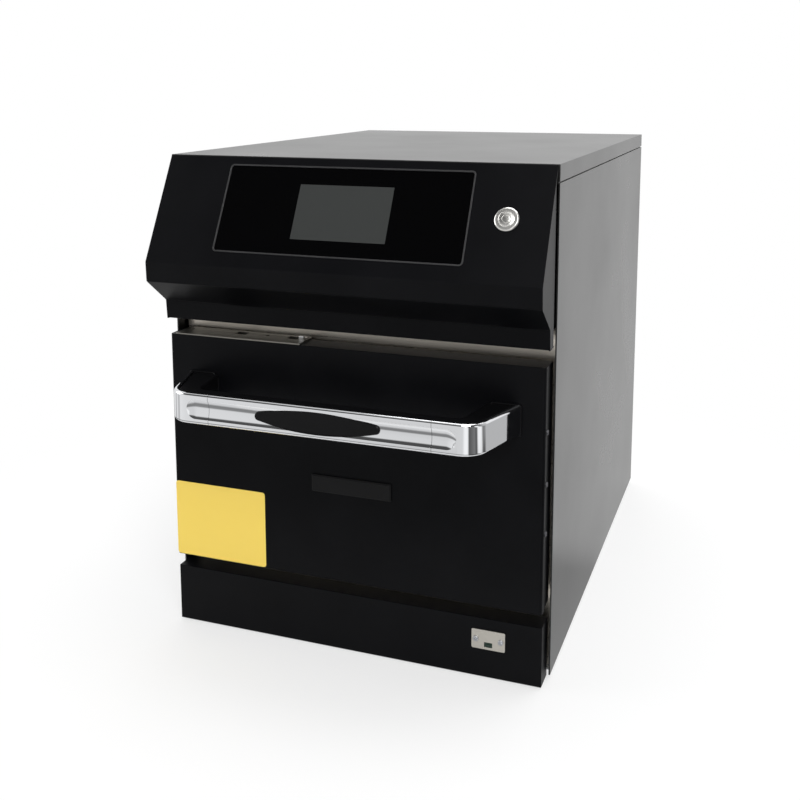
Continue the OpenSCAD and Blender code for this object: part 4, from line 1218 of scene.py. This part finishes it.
@dataclass
class ScrewSet:
    """Pan-head screws of one CAD node, laid out by Geometry Nodes.

    Attributes:
        node: CAD node they stand for.
        places: Seat centres in metres.
        outward: Direction the heads face.
        radius: Head radius.
        height: Head height.
        finish: Their finish.
        slot: Material slot of the record.
        skirt: Share of the head's height that stands straight.
        crown: Head's top radius as a share of its radius.
        cross: Length and width of the slots as shares of the radius.
        sides: Number of sides of the round head.
        seed: Seed of the random turns.
    """

    node: str
    places: list[tuple[float, float, float]]
    outward: tuple[float, float, float]
    radius: float
    height: float
    finish: Finish
    slot: str
    skirt: float = 0.6
    crown: float = 0.7
    cross: tuple[float, float] = (1.05, 0.24)
    sides: int = 28
    seed: int = 7

    def tree(self) -> bpy.types.NodeTree:
        """Build the node tree: a crossed head instanced on every point.

        Returns:
            The Geometry Nodes tree.
        """
        tree = bpy.data.node_groups.new(f"{self.node}_layout", "GeometryNodeTree")
        tree.interface.new_socket("Geometry", in_out="INPUT", socket_type="NodeSocketGeometry")
        for key in ("Head Radius", "Head Height"):
            tree.interface.new_socket(key, in_out="INPUT", socket_type="NodeSocketFloat")
        tree.interface.new_socket("Turn", in_out="INPUT", socket_type="NodeSocketRotation")
        seed = tree.interface.new_socket("Seed", in_out="INPUT", socket_type="NodeSocketInt")
        seed.default_value = self.seed
        tree.interface.new_socket("Geometry", in_out="OUTPUT", socket_type="NodeSocketGeometry")
        make = tree.nodes.new
        link = tree.links.new
        source, target = make("NodeGroupInput"), make("NodeGroupOutput")

        def scaled(key: str, factor: float) -> bpy.types.NodeSocket:
            """Multiply an input by a factor.

            Args:
                key: Name of the input.
                factor: The factor.

            Returns:
                The socket that gives the product.
            """
            node = make("ShaderNodeMath")
            node.operation = "MULTIPLY"
            node.inputs[1].default_value = factor
            link(source.outputs[key], node.inputs[0])
            return node.outputs[0]

        def lifted(geometry: bpy.types.NodeSocket, factor: float) -> bpy.types.NodeSocket:
            """Raise geometry by a share of the head height.

            Args:
                geometry: The geometry.
                factor: The share.

            Returns:
                The raised geometry.
            """
            move, shift = make("GeometryNodeTransform"), make("ShaderNodeCombineXYZ")
            link(scaled("Head Height", factor), shift.inputs["Z"])
            link(shift.outputs[0], move.inputs["Translation"])
            link(geometry, move.inputs["Geometry"])
            return move.outputs["Geometry"]

        skirt, crown = make("GeometryNodeMeshCylinder"), make("GeometryNodeMeshCone")
        for turned in (skirt, crown):
            turned.inputs["Vertices"].default_value = self.sides
        link(source.outputs["Head Radius"], skirt.inputs["Radius"])
        link(scaled("Head Height", self.skirt), skirt.inputs["Depth"])
        link(source.outputs["Head Radius"], crown.inputs["Radius Bottom"])
        link(scaled("Head Radius", self.crown), crown.inputs["Radius Top"])
        link(scaled("Head Height", 1.0 - self.skirt), crown.inputs["Depth"])
        head = make("GeometryNodeJoinGeometry")
        link(lifted(skirt.outputs["Mesh"], self.skirt / 2), head.inputs[0])
        link(lifted(crown.outputs["Mesh"], self.skirt), head.inputs[0])
        cuts = []
        for long, wide in (("X", "Y"), ("Y", "X")):
            block, size = make("GeometryNodeMeshCube"), make("ShaderNodeCombineXYZ")
            link(scaled("Head Radius", self.cross[0]), size.inputs[long])
            link(scaled("Head Radius", self.cross[1]), size.inputs[wide])
            link(source.outputs["Head Height"], size.inputs["Z"])
            link(size.outputs[0], block.inputs["Size"])
            cuts.append(lifted(block.outputs["Mesh"], 1.0))
        cross = make("GeometryNodeMeshBoolean")
        cross.operation = "DIFFERENCE"
        link(head.outputs[0], cross.inputs["Mesh 1"])
        for cut in cuts:
            link(cut, cross.inputs["Mesh 2"])
        lay, spin = make("GeometryNodeInstanceOnPoints"), make("FunctionNodeRandomValue")
        spin.data_type = "FLOAT"
        spin.inputs[3].default_value = math.tau
        link(source.outputs["Seed"], spin.inputs["Seed"])
        link(source.outputs["Geometry"], lay.inputs["Points"])
        link(cross.outputs["Mesh"], lay.inputs["Instance"])
        link(source.outputs["Turn"], lay.inputs["Rotation"])
        own, axis = make("GeometryNodeRotateInstances"), make("ShaderNodeCombineXYZ")
        link(spin.outputs[1], axis.inputs["Z"])
        link(axis.outputs[0], own.inputs["Rotation"])
        link(lay.outputs["Instances"], own.inputs["Instances"])
        real, paint = make("GeometryNodeRealizeInstances"), make("GeometryNodeSetMaterial")
        paint.inputs["Material"].default_value = self.finish.material()
        link(own.outputs["Instances"], real.inputs["Geometry"])
        link(real.outputs["Geometry"], paint.inputs["Geometry"])
        link(paint.outputs["Geometry"], target.inputs[0])
        return tree

    def build(self) -> None:
        """Lay the screws out, make them a plain mesh and seat them."""
        mesh = bpy.data.meshes.new(f"{self.node}_set")
        mesh.from_pydata(self.places, [], [])
        piece = bpy.data.objects.new(f"{self.node}_set", mesh)
        bpy.context.scene.collection.objects.link(piece)
        layout = piece.modifiers.new("layout", "NODES")
        layout.node_group = self.tree()
        turn = Vector(self.outward).to_track_quat("Z", "Y").to_euler()
        values = {"Head Radius": self.radius, "Head Height": self.height, "Turn": turn, "Seed": self.seed}
        for item in layout.node_group.interface.items_tree:
            if item.in_out == "INPUT" and item.name in values:
                layout[item.identifier] = values[item.name]
        settle(piece)
        shade(piece.data, 35.0)
        stand_for(piece, self.finish, self.slot, self.node)


@dataclass
class Studio:
    """Pale floor, soft light and the camera.

    Attributes:
        focal: Focal length in pixels of an 800 pixel frame.
        place: Camera position in metres.
        yaw: Turn to the left in radians.
        pitch: Downward tilt in radians.
        roll: Roll in radians.
        centre_y: Height of the optical axis in the frame, in pixels from the top.
        front: Level of the light that comes from the front of the surround.
        rear: Level of the light that comes from its rear.
        floor_half: Half width of the floor.
        lamps: Name, place, width in metres and power of each lamp.
    """

    focal: float = 1058.52
    place: tuple[float, float, float] = (0.3911, -1.16213, 0.57097)
    yaw: float = 0.35313
    pitch: float = 0.15078
    roll: float = -0.00183
    centre_y: float = 240.0
    front: float = 0.12
    rear: float = 0.9
    floor_half: float = 6.0
    lamps: tuple[tuple[str, tuple[float, float, float], float, float], ...] = (
        ("key", (1.1, -2.3, 2.4), 1.6, 62.0),
        ("fill", (-2.6, -0.6, 1.4), 1.8, 22.0),
        ("top", (0.3, 0.6, 2.6), 2.0, 40.0),
    )

    def camera(self) -> None:
        """Place the camera."""
        frame_px, sensor = 800.0, 36.0
        data = bpy.data.cameras.new("camera")
        data.sensor_width = sensor
        data.lens = self.focal / frame_px * sensor
        data.shift_y = (self.centre_y - frame_px / 2) / frame_px
        data.clip_start = 0.05
        data.clip_end = 50.0
        cam = bpy.data.objects.new("camera", data)
        bpy.context.scene.collection.objects.link(cam)
        forward = Vector((
            -math.sin(self.yaw) * math.cos(self.pitch),
            math.cos(self.yaw) * math.cos(self.pitch),
            -math.sin(self.pitch),
        ))
        right = Vector((math.cos(self.yaw), math.sin(self.yaw), 0.0))
        up = right.cross(forward)
        c, s = math.cos(self.roll), math.sin(self.roll)
        right, up = right * c + up * s, up * c - right * s
        turn = Matrix((right, up, -forward)).transposed().to_4x4()
        cam.matrix_world = Matrix.Translation(self.place) @ turn
        bpy.context.scene.camera = cam

    def floor(self) -> None:
        """Lay the pale floor: white to the camera away from the oven, banded in reflections."""
        bm = bmesh.new()
        bmesh.ops.create_grid(bm, x_segments=8, y_segments=8, size=self.floor_half)
        ground = object_from("floor", bm)
        material = bpy.data.materials.new("floor_white")
        material.use_nodes = True
        tree = material.node_tree
        shader = tree.nodes["Principled BSDF"]
        shader.inputs["Base Color"].default_value = (0.86, 0.86, 0.86, 1.0)
        shader.inputs["Roughness"].default_value = 0.8
        shader.inputs["Specular IOR Level"].default_value = 0.1
        glow = tree.nodes.new("ShaderNodeEmission")
        rays = tree.nodes.new("ShaderNodeLightPath")
        where = tree.nodes.new("ShaderNodeTexCoord")
        split = tree.nodes.new("ShaderNodeSeparateXYZ")
        reach = tree.nodes.new("ShaderNodeVectorMath")
        reach.operation = "LENGTH"
        bands = tree.nodes.new("ShaderNodeGroup")
        bands.node_tree = bpy.data.node_groups["room_bands"]
        rings = grey_ramp(tree, list(FLOOR_BANDS))
        tree.links.new(where.outputs["Object"], split.inputs[0])
        tree.links.new(where.outputs["Object"], reach.inputs[0])
        tree.links.new(where.outputs["Object"], bands.inputs["Vector"])
        tree.links.new(reach.outputs["Value"], rings.inputs["Fac"])
        far = reach.outputs["Value"]
        camera, glossy = rays.outputs["Is Camera Ray"], rays.outputs["Is Glossy Ray"]
        # Away from the oven the floor is all glow, and under it less, so that its shadow stays.
        fade = step_between(tree, far, start=0.28, end=0.7, low=0.6, high=1.0)
        sideways = joined(tree, "ABSOLUTE", split.outputs["X"])
        aside = step_between(tree, sideways, start=0.2, end=0.24, low=0.0, high=1.0)
        in_gloss = joined(tree, "MULTIPLY", glossy, joined(tree, "MAXIMUM", fade, aside))
        seen = joined(tree, "MAXIMUM", joined(tree, "MULTIPLY", camera, fade), in_gloss)
        # Close to the oven only the rings count, and behind it only the bands of the room.
        near = step_between(tree, far, start=0.42, end=0.56, low=1.0, high=0.0)
        room = joined(tree, "MAXIMUM", bands.outputs["Value"], near)
        behind = step_between(tree, split.outputs["Y"], start=-0.1, end=0.1, low=0.0, high=1.0)
        ringed = joined(tree, "MAXIMUM", rings.outputs["Color"], behind)
        level = joined(tree, "MAXIMUM", joined(tree, "MULTIPLY", room, ringed), camera)
        mix = tree.nodes.new("ShaderNodeMixShader")
        tree.links.new(level, glow.inputs["Color"])
        tree.links.new(seen, mix.inputs["Fac"])
        tree.links.new(shader.outputs[0], mix.inputs[1])
        tree.links.new(glow.outputs[0], mix.inputs[2])
        tree.links.new(mix.outputs[0], tree.nodes["Material Output"].inputs["Surface"])
        ground.data.materials.append(material)

    def lamp(self, name: str, place: tuple[float, float, float], size: float, watts: float) -> None:
        """Hang one soft square lamp aimed at the oven.

        Args:
            name: Name of the lamp.
            place: Its place in metres.
            size: Width of its face in metres.
            watts: Its power.
        """
        data = bpy.data.lights.new(name, "AREA")
        data.shape = "SQUARE"
        data.size = size
        data.energy = watts
        lamp = bpy.data.objects.new(name, data)
        bpy.context.scene.collection.objects.link(lamp)
        aim = Vector((0.0, -0.1, 0.25)) - Vector(place)
        lamp.matrix_world = Matrix.Translation(place) @ aim.to_track_quat("-Z", "Y").to_matrix().to_4x4()

    def world(self) -> None:
        """Set the surround: white to the camera, a soft light from the rear.

        Reflections see the bands of the room, with a dark band half way up in front.
        """
        world = bpy.data.worlds.new("surround")
        bpy.context.scene.world = world
        world.use_nodes = True
        tree = world.node_tree
        back = tree.nodes["Background"]
        rays = tree.nodes.new("ShaderNodeLightPath")
        where = tree.nodes.new("ShaderNodeTexCoord")
        split = tree.nodes.new("ShaderNodeSeparateXYZ")
        tree.links.new(where.outputs["Generated"], split.inputs[0])
        bands = tree.nodes.new("ShaderNodeGroup")
        bands.node_tree = bpy.data.node_groups["room_bands"]
        tree.links.new(where.outputs["Generated"], bands.inputs["Vector"])
        camera, glossy = rays.outputs["Is Camera Ray"], rays.outputs["Is Glossy Ray"]
        depth, height = split.outputs["Y"], split.outputs["Z"]
        light = step_between(tree, depth, start=-0.55, end=0.45, low=self.front, high=self.rear)
        low = step_between(tree, height, start=0.34, end=0.46, low=1.0, high=0.1)
        high = step_between(tree, height, start=0.8, end=0.88, low=0.0, high=0.85)
        rear = step_between(tree, depth, start=-0.3, end=0.2, low=0.0, high=1.0)
        sky = joined(tree, "MAXIMUM", joined(tree, "MAXIMUM", low, high), rear)
        shown = joined(tree, "MULTIPLY", joined(tree, "MULTIPLY", sky, bands.outputs["Value"]), glossy)
        matt = step_between(tree, glossy, start=0.0, end=1.0, low=1.0, high=0.0)
        plain = joined(tree, "MULTIPLY", light, matt)
        level = joined(tree, "MAXIMUM", joined(tree, "MAXIMUM", shown, plain), camera)
        tree.links.new(level, back.inputs["Color"])

    def build(self) -> None:
        """Build the whole studio."""
        self.camera()
        self.floor()
        self.world()
        for lamp in self.lamps:
            self.lamp(*lamp)
        bpy.context.scene.view_settings.view_transform = "Standard"


def screw_sets() -> list[ScrewSet]:
    """Lay out the two sets of crossed screws that show on the outside.

    Returns:
        The screws of the rear panel and those of the port plate.
    """
    rear, kick_front = 309.5, -248.5
    plate_x, plate_z, plate = 143.7, 41, 1.2
    rear_places = [(x * MM, rear * MM, z * MM) for x in (-188, 188) for z in (24, 170, 316, 462)]
    plate_places = [((plate_x + x) * MM, (kick_front - plate) * MM, plate_z * MM) for x in (-12.3, 12.3)]
    return [
        ScrewSet("rear_screws", rear_places, (0, 1, 0), 3.6 * MM, 2.0 * MM, ZINC, "zinc_steel"),
        ScrewSet("usb_plate_screws", plate_places, (0, -1, 0), 2.7 * MM, 1.4 * MM, ZINC, "zinc_steel"),
    ]


def dress_cad_nodes() -> None:
    """Give every CAD node that stays its procedural finish."""
    for node, (finish, slot) in DRESS.items():
        obj = frame["nodes"][node]
        obj.data.materials.clear()
        obj.data.materials.append(finish.material())
        LOG.info("%s: %s", node, finish.name)


def main() -> None:
    """Build the groups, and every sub-assembly and the studio."""
    logging.basicConfig(level=logging.INFO, format="%(name)s %(message)s", stream=sys.stdout)
    coat_grain_group()
    cloudy_group()
    room_bands_group()
    for axis in Axis:
        brush_lines_group(axis)
    dress_cad_nodes()
    Cabinet().build()
    ControlHead().build()
    Door().build()
    for screws in screw_sets():
        screws.build()
    for node, finish, slot in (
        ("usb_plate", PLATE_STEEL, "bright_metal"),
        ("door_side_screws", DARK_SCREW, "zinc_steel"),
    ):
        stand_for(softened(node, 0.2 * MM, segments=2), finish, slot, node)
    Studio().build()


if __name__ == "__main__":
    main()
